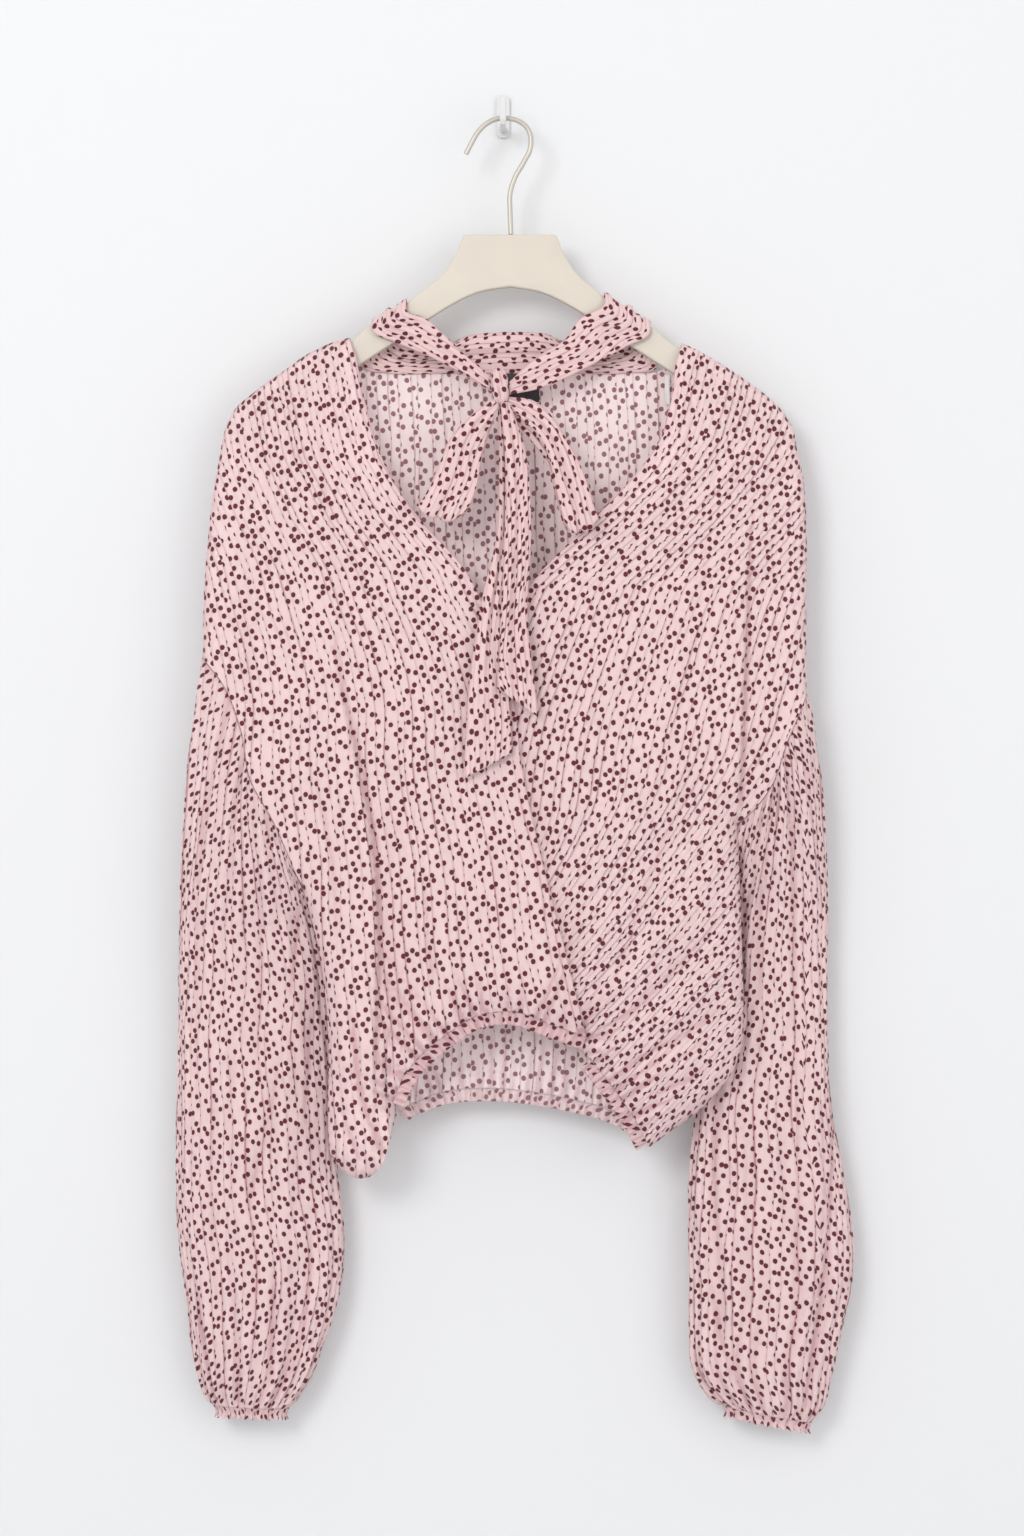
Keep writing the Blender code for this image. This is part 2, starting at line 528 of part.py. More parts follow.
def tube(name, outer, inner, material):
    """A closed wall between two tubes, whose rings are the grids' rows."""
    rows, columns = outer.shape[:2]
    points = np.concatenate([outer.reshape(-1, 3), inner.reshape(-1, 3)])

    def at(layer, i, j):
        return layer * rows * columns + i * columns + j % columns

    faces = []
    for j in range(columns):
        for i in range(rows - 1):
            faces.append((at(0, i, j), at(0, i, j + 1), at(0, i + 1, j + 1), at(0, i + 1, j)))
            faces.append((at(1, i, j), at(1, i + 1, j), at(1, i + 1, j + 1), at(1, i, j + 1)))
        for i in (0, rows - 1):
            faces.append((at(0, i, j), at(1, i, j), at(1, i, j + 1), at(0, i, j + 1)))
    return add_object(name, points, faces, material)


def grid_normals(grid, closed):
    """Unit normals of a grid of points, from its neighbours."""
    if closed:
        across = np.roll(grid, -1, axis=1) - np.roll(grid, 1, axis=1)
    else:
        across = np.gradient(grid, axis=1)
    normals = np.cross(across, np.gradient(grid, axis=0))
    return normals / np.linalg.norm(normals, axis=-1, keepdims=True)


def material(name, colour, roughness, metallic=0.0):
    made = bpy.data.materials.new(name)
    made.use_nodes = True
    shader = made.node_tree.nodes["Principled BSDF"]
    shader.inputs["Base Color"].default_value = (*colour, 1.0)
    shader.inputs["Roughness"].default_value = roughness
    shader.inputs["Metallic"].default_value = metallic
    return made


def make_front(name, arm, armhole, side, neck_edge, hem, height, cloth):
    outer, rows = edge_rows(arm, armhole, side)
    inner = spline(neck_edge[NECK_TOP:], rows)
    x, z = panel_grid(outer, inner, neck_edge[:NECK_TOP + 1], hem, rows, False)
    grids = wall(x, z, height, -1)
    slab(name, *grids, cloth)
    return grids


def make_back(cloth):
    right, rows = edge_rows(ARM_OUTLINE_RIGHT, ARMHOLE_RIGHT, SIDE_RIGHT)
    left, _ = edge_rows(ARM_OUTLINE_LEFT, ARMHOLE_LEFT, SIDE_LEFT)
    x, z = panel_grid(right, left, NECK_BACK, HEM_BACK, rows, True)
    grids = wall(x, z, back_y, 1)
    slab("back", *grids, cloth)
    return grids


def seam_points(edge):
    """The armhole edge of a panel with even points added on its straight stretches."""
    start = PANEL_ROWS_ARM
    rows = edge[start:start + PANEL_ROWS_SEAM + 1]
    at = np.linspace(0, PANEL_ROWS_SEAM, SWEEP + 1)
    return np.stack([np.interp(at, range(PANEL_ROWS_SEAM + 1), column) for column in rows.T], axis=1)


def ring_of(front_edge, back_edge, underarm=None):
    """A ring that runs down the front half of the armhole and up the back half."""
    if underarm is not None:
        front_edge, back_edge = front_edge.copy(), back_edge.copy()
        front_edge[PANEL_ROWS_ARM + PANEL_ROWS_SEAM] = underarm
        back_edge[PANEL_ROWS_ARM + PANEL_ROWS_SEAM] = underarm
    front, back = seam_points(front_edge), seam_points(back_edge)
    ring = np.concatenate([front, back[-2:0:-1]])
    ring[0] = (front[0] + back[0]) / 2
    ring[SWEEP] = (front[-1] + back[-1]) / 2
    return ring


def make_sleeve(name, front, back, back_column, table, folds, away, cloth):
    """A tube from the armhole seam to the cuff, gathered all round."""
    ring = ring_of(front[0][:, 0], back[0][:, back_column])
    away = np.array([away[0], 0.0, away[1]])
    inward = (ring[0] - ring[SWEEP]) * np.array([1.0, 0.0, 1.0])
    inward = inward / np.linalg.norm(inward) + away
    underarm = ring[SWEEP] + inward * WALL / np.linalg.norm(inward)
    ring_inner = ring_of(front[1][:, 0], back[1][:, back_column], underarm)
    shift = GAP * 2 * away
    angle = np.linspace(0, 2 * math.pi, 2 * SWEEP, endpoint=False)
    table = np.array(table)

    def section(row):
        z, x_outer, x_inner, y_middle, half, tilt = row
        across = (1 - np.cos(angle)) / 2
        flat = np.sign(np.sin(angle)) * np.abs(np.sin(angle)) ** 0.8
        return np.stack([x_outer + (x_inner - x_outer) * across, y_middle - half * flat,
                         z - tilt * (0.5 - across)], axis=1)

    sections = [section(row) for row in table]
    grid = [ring + shift]
    outward = math.copysign(0.003, table[0, 1])
    for step in range(1, SLEEVE_HEAD_ROWS + 1):
        t = step / (SLEEVE_HEAD_ROWS + 1)
        mixed = (ring + shift) * (1 - t) + sections[0] * t
        mixed[:, 0] += outward * math.sin(math.pi * t) * (1 + np.cos(angle)) / 2
        mixed[:, 1] -= 0.004 * math.sin(math.pi * t) * np.clip(np.sin(angle), 0, 1)
        grid.append(mixed)
    for upper, lower in zip(sections, sections[1:]):
        grid.append(upper)
        if np.abs(upper - lower)[:, 2].max() > 0.05:
            grid.append((upper + lower) / 2)
    grid.append(sections[-1])
    grid = np.array(grid)
    front_half = np.clip(np.sin(angle) * 3, 0, 1)
    grid[1:-1, :, 1] -= (relief(grid[..., 0], grid[..., 2], folds) * front_half)[1:-1]
    wave = np.cos(SLEEVE_WAVES * angle)
    normals = grid_normals(grid, True)
    middle = grid.mean(axis=1, keepdims=True)
    normals *= np.sign(((grid - middle) * normals).sum(axis=(1, 2)))[:, None, None]
    fade = np.minimum(np.arange(len(grid)), 2)[:, None, None] / 2
    outer = grid + normals * (wave[None, :, None] * SLEEVE_WAVE_HEIGHT * fade)
    normals = grid_normals(outer, True)
    normals *= np.sign(((outer - middle) * normals).sum(axis=(1, 2)))[:, None, None]
    inner = outer - normals * WALL
    inner[0] = ring_inner + shift
    tube(name, outer, inner, cloth)
    return outer, inner


def make_cuff(name, sleeve, cloth):
    """A short elastic cuff below the sleeve's last ring, ruffled by its gathers."""
    outer, inner = sleeve[0][-1], sleeve[1][-1]
    middle = outer.mean(axis=0)
    down = np.array([0.0, 0.0, -1.0])
    angle = np.linspace(0, 2 * math.pi, 2 * SWEEP, endpoint=False)
    ruffle = np.cos(CUFF_WAVES * angle)[:, None] * CUFF_WAVE_HEIGHT

    def rings(points, sign):
        out = points - middle
        out[:, 2] = 0
        out /= np.linalg.norm(out, axis=1, keepdims=True)
        return np.array([
            points + down * GAP,
            points + down * CUFF_HEIGHT * 0.5 - out * 0.0012 + out * ruffle * 0.6,
            points + down * CUFF_HEIGHT + out * ruffle,
        ])

    tube(name, rings(outer, 1), rings(inner, 1), cloth)


def make_hem_band(name, grids, first, last, cloth):
    """An elastic casing along part of a panel's bottom edge, ruffled by its gathers."""
    outer, inner = grids[0][-1, first:last], grids[1][-1, first:last]
    length = np.concatenate([[0.0], np.cumsum(np.linalg.norm(np.diff(outer, axis=0), axis=1))])
    waves = int(length[-1] / HEM_WAVE_PITCH)
    extra = np.linspace(0, length[-1], 3 * waves + 1)
    extra = extra[[abs(length - e).min() > 0.0016 for e in extra]]
    at = np.unique(np.round(np.concatenate([length, extra]), 6))

    def along(points):
        return np.stack([np.interp(at, length, column) for column in points.T], axis=1)

    outer, inner = along(outer), along(inner)
    tangent = np.gradient(outer, at, axis=0)
    down = np.stack([tangent[:, 2], np.zeros(len(at)), -tangent[:, 0]], axis=1)
    down *= np.sign(-down[:, 2:])
    down /= np.linalg.norm(down, axis=1, keepdims=True)
    thick = outer - inner
    thick /= np.linalg.norm(thick, axis=1, keepdims=True)
    ruffle = thick * (np.cos(2 * math.pi * at / HEM_WAVE_PITCH) * HEM_WAVE_HEIGHT)[:, None]

    def rows(points):
        return np.array([
            points + down * GAP * 1.6,
            points + down * HEM_BAND_HEIGHT * 0.45 - thick * 0.0008 + ruffle * 0.5,
            points + down * HEM_BAND_HEIGHT + ruffle,
        ])

    slab(name, rows(outer), rows(inner), cloth)


def strip_grid(a_edge, b_edge, per):
    """A grid of points between two edges, pleated lengthwise."""
    a, b = stations(a_edge, b_edge, per)
    across = steps(STRIP_ACROSS)[None, :, None]
    grid = a[:, None] * (1 - across) + b[:, None] * across
    pleat = np.cos(2 * math.pi * STRIP_PLEATS * across) * STRIP_PLEAT_HEIGHT * np.sin(math.pi * across)
    return grid + grid_normals(grid, False) * pleat


def make_strip(name, grid, cloth):
    shift = grid_normals(grid, False) * TIE_WALL / 2
    slab(name, grid + shift, grid - shift, cloth)


def strip_edges(table):
    table = np.array(table)
    return table[:, [0, 4, 1]], table[:, [2, 4, 3]]


def arm_top_z(from_middle):
    top = spline(ARM_TOP, steps(200))
    return float(np.interp(from_middle, top[:, 0], top[:, 1]))


def make_collar(cloth):
    """One strip from the knot over a hanger arm, behind the neck, over the other arm and to the knot."""
    def crown(side, a, b, order):
        rows = []
        for y, z in order:
            rows.append([(HANGER_X + side * a, HANGER_Y + y, arm_top_z(a) + z),
                         (HANGER_X + side * b, HANGER_Y + y, arm_top_z(b) + z)])
        return np.array(rows)

    def behind(row):
        x, z = np.array([row[0], row[2]]), np.array([row[1], row[3]])
        neck_y = back_y(x, np.full(2, NECK_Z)) - WALL / 2
        return [(x[0], neck_y[0], z[0]), (x[1], neck_y[1], z[1])]

    right_a, right_b = strip_edges(STRAP_RIGHT)
    left_a, left_b = strip_edges(STRAP_LEFT)
    over_right = crown(-1, CROWN_RIGHT_A, CROWN_RIGHT_B, CROWN)
    over_left = crown(1, CROWN_LEFT_A, CROWN_LEFT_B, CROWN[::-1])
    back = np.array([behind(row) for row in COLLAR_BACK])
    a = np.concatenate([right_a, over_right[:, 0], back[:, 0], over_left[:, 0], left_a])
    b = np.concatenate([right_b, over_right[:, 1], back[:, 1], over_left[:, 1], left_b])
    make_strip("tie_collar", strip_grid(a, b, 2), cloth)


def make_knot(cloth):
    """A small wrapped knot, a little taller than wide."""
    rings, around = 8, 12
    centre = np.array(KNOT_CENTRE)
    points, faces = [], []
    for i in range(rings + 1):
        level = math.pi * (i + 0.5) / (rings + 1)
        width = math.sin(level) ** 0.55
        for j in range(around):
            turn = 2 * math.pi * j / around
            crease = 1 + 0.06 * math.cos(3 * turn + 2 * level)
            z = KNOT_SIZE[2] * math.cos(level)
            points.append(centre + np.array([
                KNOT_SIZE[0] * width * crease * math.cos(turn) - KNOT_LEAN * z,
                KNOT_SIZE[1] * width * crease * math.sin(turn), z,
            ]))
    for i in range(rings):
        for j in range(around):
            k = (j + 1) % around
            faces.append((i * around + j, i * around + k, (i + 1) * around + k, (i + 1) * around + j))
    faces.append(tuple(range(around)))
    faces.append(tuple(rings * around + j for j in range(around - 1, -1, -1)))
    add_object("tie_knot", points, faces, cloth)


def make_label(black):
    """A plain woven label sewn inside the back neck."""
    x = LABEL_X + np.array([-0.5, 0.5]) * LABEL_SIZE[0]
    z = NECK_Z - 0.0005 + np.array([0.0, -1.0]) * LABEL_SIZE[1]
    grid_x, grid_z = np.meshgrid(x, z)
    front = back_y(grid_x, grid_z).min() - WALL - GAP
    grid = np.stack([grid_x, np.full(grid_x.shape, front), grid_z], axis=-1)
    slab("neck_label", grid, grid - np.array([0.0, LABEL_THICK, 0.0]), black)


def make_hanger_loop(white):
    """A narrow tape loop sewn inside the left shoulder."""
    top = np.array([0.1185, -0.1880])
    drop = np.array([-0.0035, -0.0210])
    t = steps(6)[:, None]
    y = HANGER_Y
    middle = top + drop * t
    middle = np.stack([middle[:, 0], np.full(7, y), middle[:, 1]], axis=1)
    middle[:, 1] = back_y(middle[:, 0], middle[:, 2]).min() - WALL - GAP - LOOP_TAPE_THICK
    half = np.array([LOOP_TAPE_WIDTH / 2, 0.0, 0.0])
    grid = np.stack([middle - half, middle + half], axis=1)
    slab("hanger_loop_left", grid, grid + np.array([0.0, LOOP_TAPE_THICK, 0.0]), white)


def make_hanger(plastic):
    """A flat hanger with a wide neck, rounded along its edges."""
    top = spline(ARM_TOP, steps(18))
    tip = spline(ARM_TIP, steps(3))[1:]
    bottom = spline(ARM_BOTTOM, steps(14))[1:]
    half = np.concatenate([top, tip, bottom])
    outline = np.concatenate([half, half[-2::-1] * np.array([-1.0, 1.0])])
    work = bmesh.new()
    corners = [work.verts.new((HANGER_X + x, HANGER_Y - HANGER_THICK / 2, z)) for x, z in outline]
    face = work.faces.new(corners)
    made = bmesh.ops.extrude_face_region(work, geom=[face])
    moved = [v for v in made["geom"] if isinstance(v, bmesh.types.BMVert)]
    bmesh.ops.translate(work, verts=moved, vec=(0.0, HANGER_THICK, 0.0))
    bmesh.ops.recalc_face_normals(work, faces=work.faces)
    rim = [e for e in work.edges if abs(e.verts[0].co.y - e.verts[1].co.y) < 1e-6]
    bmesh.ops.bevel(work, geom=rim, offset=HANGER_EDGE, segments=2, profile=0.5, affect="EDGES")
    mesh = bpy.data.meshes.new("hanger")
    work.to_mesh(mesh)
    work.free()
    mesh.shade_smooth()
    mesh.set_sharp_from_angle(angle=math.radians(40))
    mesh.materials.append(plastic)
    bpy.context.scene.collection.objects.link(bpy.data.objects.new("hanger", mesh))


def make_hook(metal):
    """The hanger's wire hook, one bent wire from its stem to its open end."""
    line = spline(HOOK, steps(HOOK_POINTS))
    tangent = np.gradient(line, axis=0)
    side = np.stack([tangent[:, 1], -tangent[:, 0]], axis=1)
    side /= np.linalg.norm(side, axis=1, keepdims=True)
    points, faces = [], []
    for (x, z), (side_x, side_z) in zip(line, side):
        for j in range(WIRE_SIDES):
            turn = 2 * math.pi * j / WIRE_SIDES
            across = WIRE_RADIUS * math.cos(turn)
            deep = HANGER_Y + WIRE_RADIUS * math.sin(turn)
            points.append((x + side_x * across, deep, z + side_z * across))
    for i in range(HOOK_POINTS):
        for j in range(WIRE_SIDES):
            k = (j + 1) % WIRE_SIDES
            here, there = i * WIRE_SIDES, (i + 1) * WIRE_SIDES
            faces.append((here + j, here + k, there + k, there + j))
    faces.append(tuple(range(WIRE_SIDES)))
    faces.append(tuple(HOOK_POINTS * WIRE_SIDES + j for j in range(WIRE_SIDES - 1, -1, -1)))
    add_object("hanger_hook", points, faces, metal)


def make_wall_hook(plastic):
    """A flat plate on the wall with one upturned peg, which the hanger's hook hangs on."""
    reach = -HANGER_Y + 0.0040
    side = [
        (-0.0010, PEG_TOP - PEG_THICK), (-0.0010, PEG_TOP + 0.0060), (-PLATE_SIZE[1] - 0.0015, PEG_TOP),
        (-reach, PEG_TOP), (-reach - 0.0010, PEG_TOP + 0.0150), (-reach - PEG_THICK, PEG_TOP + 0.0165),
        (-reach - PEG_THICK - 0.0005, PEG_TOP + 0.0005), (-reach - 0.0015, PEG_TOP - PEG_THICK),
    ]
    work = bmesh.new()
    corners = [work.verts.new((-PEG_WIDTH / 2, y, z)) for y, z in side]
    face = work.faces.new(corners)
    made = bmesh.ops.extrude_face_region(work, geom=[face])
    moved = [v for v in made["geom"] if isinstance(v, bmesh.types.BMVert)]
    bmesh.ops.translate(work, verts=moved, vec=(PEG_WIDTH, 0.0, 0.0))
    bmesh.ops.recalc_face_normals(work, faces=work.faces)
    bmesh.ops.bevel(work, geom=list(work.edges), offset=0.0006, segments=1, affect="EDGES")
    mesh = bpy.data.meshes.new("peg_cutter")
    work.to_mesh(mesh)
    work.free()
    peg = bpy.data.objects.new("peg", mesh)
    bpy.context.scene.collection.objects.link(peg)
    peg.hide_render = True
    peg.display_type = "WIRE"

    work = bmesh.new()
    bmesh.ops.create_cube(work, size=1.0)
    bmesh.ops.scale(work, verts=work.verts, vec=PLATE_SIZE)
    bmesh.ops.translate(work, verts=work.verts, vec=(0.0, -PLATE_SIZE[1] / 2, PLATE_Z))
    upright = [e for e in work.edges if abs(e.verts[0].co.y - e.verts[1].co.y) > 1e-4]
    bmesh.ops.bevel(work, geom=upright, offset=0.0035, segments=3, profile=0.5, affect="EDGES")
    mesh = bpy.data.meshes.new("wall_hook")
    work.to_mesh(mesh)
    work.free()
    mesh.materials.append(plastic)
    plate = bpy.data.objects.new("wall_hook", mesh)
    bpy.context.scene.collection.objects.link(plate)
    joined = plate.modifiers.new("Peg", "BOOLEAN")
    joined.operation = "UNION"
    joined.solver = "EXACT"
    joined.object = peg


def main():
    for old in list(bpy.data.objects):
        bpy.data.objects.remove(old)
    cloth = material("dotted_cloth", CLOTH_COLOUR, 0.85)
    cream = material("hanger_plastic", HANGER_COLOUR, 0.5)
    metal = material("hook_metal", WIRE_COLOUR, 0.35, 0.6)
    white = material("wall_hook_plastic", PEG_COLOUR, 0.35)

    right = make_front("front_right", ARM_OUTLINE_RIGHT, ARMHOLE_RIGHT, SIDE_RIGHT, NECK_EDGE_RIGHT,
                       HEM_FRONT_RIGHT, front_y, cloth)
    left = make_front("front_left", ARM_OUTLINE_LEFT, ARMHOLE_LEFT, SIDE_LEFT, NECK_EDGE_LEFT,
                      HEM_FRONT_LEFT, front_left_y, cloth)
    back = make_back(cloth)
    sleeve_right = make_sleeve("sleeve_right", right, back, 0, SLEEVE_RIGHT, SLEEVE_FOLDS_RIGHT,
                               (-0.916, -0.400), cloth)
    sleeve_left = make_sleeve("sleeve_left", left, back, -1, SLEEVE_LEFT, SLEEVE_FOLDS_LEFT,
                              (0.884, -0.467), cloth)
    make_cuff("cuff_right", sleeve_right, cloth)
    make_cuff("cuff_left", sleeve_left, cloth)
    make_hem_band("hem_band_right", right, 9, PANEL_COLUMNS + 1, cloth)
    make_hem_band("hem_band_left", left, 1, 9, cloth)
    make_hem_band("hem_band_back", back, 7, PANEL_COLUMNS - 2, cloth)

    make_collar(cloth)
    make_knot(cloth)
    for name, table in (
        ("tie_loop_right", LOOP_RIGHT), ("tie_loop_left", LOOP_LEFT),
        ("tie_tail_front", TAIL_FRONT), ("tie_tail_back", TAIL_BACK),
    ):
        make_strip(name, strip_grid(*strip_edges(table), 2), cloth)
    make_label(material("label_satin", LABEL_COLOUR, 0.6))
    make_hanger_loop(material("tape_satin", TAPE_COLOUR, 0.4))
    make_hanger(cream)
    make_hook(metal)
    make_wall_hook(white)


main()
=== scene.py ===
"""Looks of a tie neck wrap blouse on its hanger: crinkled dotted chiffon shells over the solid frame.

Metres, +Z up, +X to the viewer's right. The wall is Y = 0 and the viewer stands at -Y. Right and left in
names are the wearer's. The body is two height surfaces over X-Z that round off to one outline.
"""

import logging
import math
from collections.abc import Callable
from dataclasses import dataclass, field
from enum import Enum

import bpy
import numpy as np
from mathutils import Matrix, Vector


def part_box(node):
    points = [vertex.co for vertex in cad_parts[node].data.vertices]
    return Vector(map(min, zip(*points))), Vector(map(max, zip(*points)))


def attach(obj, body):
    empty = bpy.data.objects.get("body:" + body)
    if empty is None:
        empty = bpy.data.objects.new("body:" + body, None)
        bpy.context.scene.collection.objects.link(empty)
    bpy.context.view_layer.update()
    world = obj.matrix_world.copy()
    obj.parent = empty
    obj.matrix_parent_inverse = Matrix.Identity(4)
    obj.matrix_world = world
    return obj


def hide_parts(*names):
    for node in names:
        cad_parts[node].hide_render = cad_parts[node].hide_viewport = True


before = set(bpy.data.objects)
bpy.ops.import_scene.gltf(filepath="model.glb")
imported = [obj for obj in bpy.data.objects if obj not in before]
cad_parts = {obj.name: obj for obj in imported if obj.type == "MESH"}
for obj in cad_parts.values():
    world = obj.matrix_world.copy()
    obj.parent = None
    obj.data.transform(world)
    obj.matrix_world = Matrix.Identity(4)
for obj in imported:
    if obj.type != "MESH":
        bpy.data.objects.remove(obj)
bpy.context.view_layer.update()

LOG = logging.getLogger("blouse")
Points = np.ndarray
Height = Callable[[Points, Points], Points]

GAP = 0.0003
SHELL = 0.00035  # cloth thickness
LEAST_LENGTH = 0.0102  # shortest flat length worked out for a cut
HANGER_X, HANGER_Y = 0.0048, -0.030

# Depth of the garment: height, outline, front cloth, back cloth
DEPTHS = np.array([
    (-0.160, -0.0300, -0.0400, -0.0195),
    (-0.250, -0.0302, -0.0430, -0.0180),
    (-0.390, -0.0320, -0.0500, -0.0170),
    (-0.500, -0.0380, -0.0560, -0.0170),
    (-0.560, -0.0430, -0.0600, -0.0170),
    (-0.660, -0.0450, -0.0620, -0.0180),
    (-0.750, -0.0440, -0.0600, -0.0200),
])

# Outlines, each a row of x and z
ARM_OUTLINE_RIGHT = [
    (-0.1070, -0.1628), (-0.1180, -0.1660), (-0.1340, -0.1730), (-0.1520, -0.1852), (-0.1710, -0.1988),
    (-0.1870, -0.2125), (-0.1938, -0.2250), (-0.1975, -0.2420), (-0.2025, -0.2700), (-0.2070, -0.3110),
    (-0.2093, -0.3460), (-0.2100, -0.3864),
]
ARM_OUTLINE_LEFT = [
    (0.1253, -0.1665), (0.1365, -0.1720), (0.1596, -0.1858), (0.1790, -0.1996), (0.1950, -0.2136),
    (0.2030, -0.2275), (0.2060, -0.2420), (0.2105, -0.2640), (0.2121, -0.2900), (0.2121, -0.3470),
    (0.2121, -0.4116),
]
ARMHOLE_RIGHT = [
    (-0.2100, -0.3864), (-0.1946, -0.4060), (-0.1820, -0.4375), (-0.1750, -0.4725), (-0.1596, -0.5005),
    (-0.1400, -0.5460),
]
ARMHOLE_LEFT = [
    (0.2121, -0.4116), (0.2058, -0.4270), (0.1974, -0.4459), (0.1855, -0.4780), (0.1757, -0.4914),
    (0.1638, -0.5030),
]
SIDE_RIGHT = [
    (-0.1400, -0.5460), (-0.1295, -0.5845), (-0.1232, -0.6265), (-0.1211, -0.6685), (-0.1218, -0.7035),
    (-0.1204, -0.7315),
]
SIDE_LEFT = [
    (0.1638, -0.5030), (0.1652, -0.5565), (0.1666, -0.5985), (0.1673, -0.6335), (0.1652, -0.6615),
    (0.1582, -0.6776), (0.1484, -0.6902), (0.1351, -0.7035), (0.1204, -0.7140), (0.1022, -0.7280),
]
BAG_RIGHT = [
    (-0.1204, -0.7315), (-0.1105, -0.7450), (-0.0985, -0.7500), (-0.0880, -0.7450), (-0.0800, -0.7280),
]
NECK_EDGE_RIGHT = [
    (-0.1070, -0.1628), (-0.1026, -0.1770), (-0.0966, -0.2065), (-0.0840, -0.2485), (-0.0580, -0.2905),
    (-0.0260, -0.3270), (-0.0042, -0.3745), (0.0084, -0.4235), (0.0126, -0.4585), (0.0224, -0.5075),
    (0.0434, -0.5915), (0.0574, -0.6496),
]
NECK_EDGE_LEFT = [
    (0.1253, -0.1665), (0.1205, -0.1830), (0.1155, -0.2135), (0.1099, -0.2345), (0.0960, -0.2555),
    (0.0679, -0.2856), (0.0371, -0.3164), (0.0180, -0.3380), (0.0060, -0.3800), (-0.0100, -0.4600),
    (-0.0280, -0.5600), (-0.0400, -0.6450),
]
HEM_FRONT_RIGHT = BAG_RIGHT + [
    (-0.0780, -0.7000), (-0.0670, -0.6750), (-0.0420, -0.6503), (-0.0150, -0.6345), (0.0100, -0.6330),
    (0.0320, -0.6410), (0.0574, -0.6496),
]
HEM_FRONT_LEFT = [
    (0.1022, -0.7280), (0.0896, -0.7040), (0.0798, -0.6900), (0.0700, -0.6770), (0.0590, -0.6640),
    (0.0320, -0.6380), (0.0100, -0.6285), (-0.0150, -0.6300), (-0.0400, -0.6450),
]
NECK_Z = -0.1865
# The back's top edge tucks in behind the collar's lower edge
TUCKED_Z = -0.1836
NECK_BACK = [
    (-0.1070, -0.1628), (-0.1030, -0.1740), (-0.0960, TUCKED_Z), (-0.0600, TUCKED_Z), (0.0050, TUCKED_Z),
    (0.0700, TUCKED_Z), (0.1130, TUCKED_Z), (0.1210, -0.1770), (0.1253, -0.1665),
]
HEM_BACK = BAG_RIGHT + [
    (-0.0735, -0.7060), (-0.0500, -0.6935), (-0.0020, -0.6890), (0.0260, -0.6920), (0.0500, -0.6965),
    (0.0720, -0.7020), (0.0880, -0.7090), (0.1022, -0.7280),
]

# Large folds: start, middle and end, height, and reach to the viewer's left and right
FRONT_FOLDS = [
    (-0.121, -0.382, -0.093, -0.520, -0.092, -0.722, 0.0075, 0.028, 0.0028),
    (-0.080, -0.480, -0.074, -0.600, -0.066, -0.690, -0.0045, 0.012, 0.018),
    (-0.060, -0.400, -0.046, -0.530, -0.034, -0.640, 0.0035, 0.017, 0.012),
    (-0.178, -0.290, -0.178, -0.380, -0.172, -0.470, -0.0030, 0.009, 0.009),
    (0.169, -0.300, 0.1650, -0.410, 0.1600, -0.535, 0.0062, 0.030, 0.0024),
    (0.165, -0.240, 0.110, -0.420, 0.060, -0.620, 0.0035, 0.020, 0.024),
    (0.130, -0.300, 0.060, -0.430, 0.035, -0.560, 0.0030, 0.012, 0.016),
    (0.060, -0.640, 0.105, -0.590, 0.155, -0.520, 0.0030, 0.010, 0.012),
    (0.068, -0.662, 0.115, -0.635, 0.162, -0.600, 0.0030, 0.009, 0.010),
    (0.080, -0.688, 0.118, -0.672, 0.158, -0.650, 0.0028, 0.008, 0.009),
    (0.000, -0.400, 0.026, -0.530, 0.054, -0.640, 0.0020, 0.012, 0.005),
    (-0.112, -0.190, -0.092, -0.270, -0.050, -0.345, 0.0028, 0.009, 0.012),
    (-0.150, -0.230, -0.125, -0.330, -0.080, -0.430, 0.0026, 0.016, 0.016),
    (0.130, -0.190, 0.112, -0.270, 0.070, -0.330, 0.0026, 0.012, 0.009),
]
# Smaller creases of the front, pressed in
FRONT_CREASES = [
    (-0.150, -0.205, -0.160, -0.300, -0.150, -0.400, 0.0012, 0.004, 0.008),
    (-0.130, -0.200, -0.120, -0.300, -0.098, -0.400, -0.0011, 0.005, 0.005),
    (-0.100, -0.260, -0.070, -0.340, -0.040, -0.420, 0.0010, 0.004, 0.007),
    (-0.140, -0.440, -0.120, -0.520, -0.116, -0.640, -0.0014, 0.005, 0.004),
    (-0.020, -0.430, -0.010, -0.520, 0.012, -0.610, 0.0010, 0.007, 0.004),
    (-0.055, -0.520, -0.052, -0.580, -0.046, -0.630, -0.0012, 0.004, 0.004),
    (0.150, -0.215, 0.140, -0.330, 0.120, -0.430, -0.0012, 0.006, 0.005),
    (0.180, -0.240, 0.175, -0.330, 0.155, -0.420, 0.0012, 0.006, 0.008),
    (0.105, -0.290, 0.080, -0.350, 0.045, -0.440, 0.0011, 0.005, 0.006),
    (0.150, -0.440, 0.110, -0.520, 0.075, -0.620, -0.0014, 0.005, 0.006),
    (0.090, -0.450, 0.062, -0.540, 0.056, -0.625, 0.0011, 0.005, 0.005),
    (0.070, -0.650, 0.110, -0.612, 0.160, -0.560, -0.0011, 0.004, 0.004),
    (0.074, -0.674, 0.116, -0.654, 0.158, -0.625, -0.0011, 0.003, 0.004),
    (0.088, -0.700, 0.115, -0.690, 0.145, -0.675, 0.0011, 0.003, 0.004),
    (-0.082, -0.735, -0.098, -0.690, -0.105, -0.630, -0.0032, 0.003, 0.004),
    (-0.096, -0.745, -0.112, -0.700, -0.118, -0.650, -0.0028, 0.003, 0.003),
    (-0.074, -0.725, -0.080, -0.680, -0.078, -0.640, -0.0024, 0.003, 0.003),
]
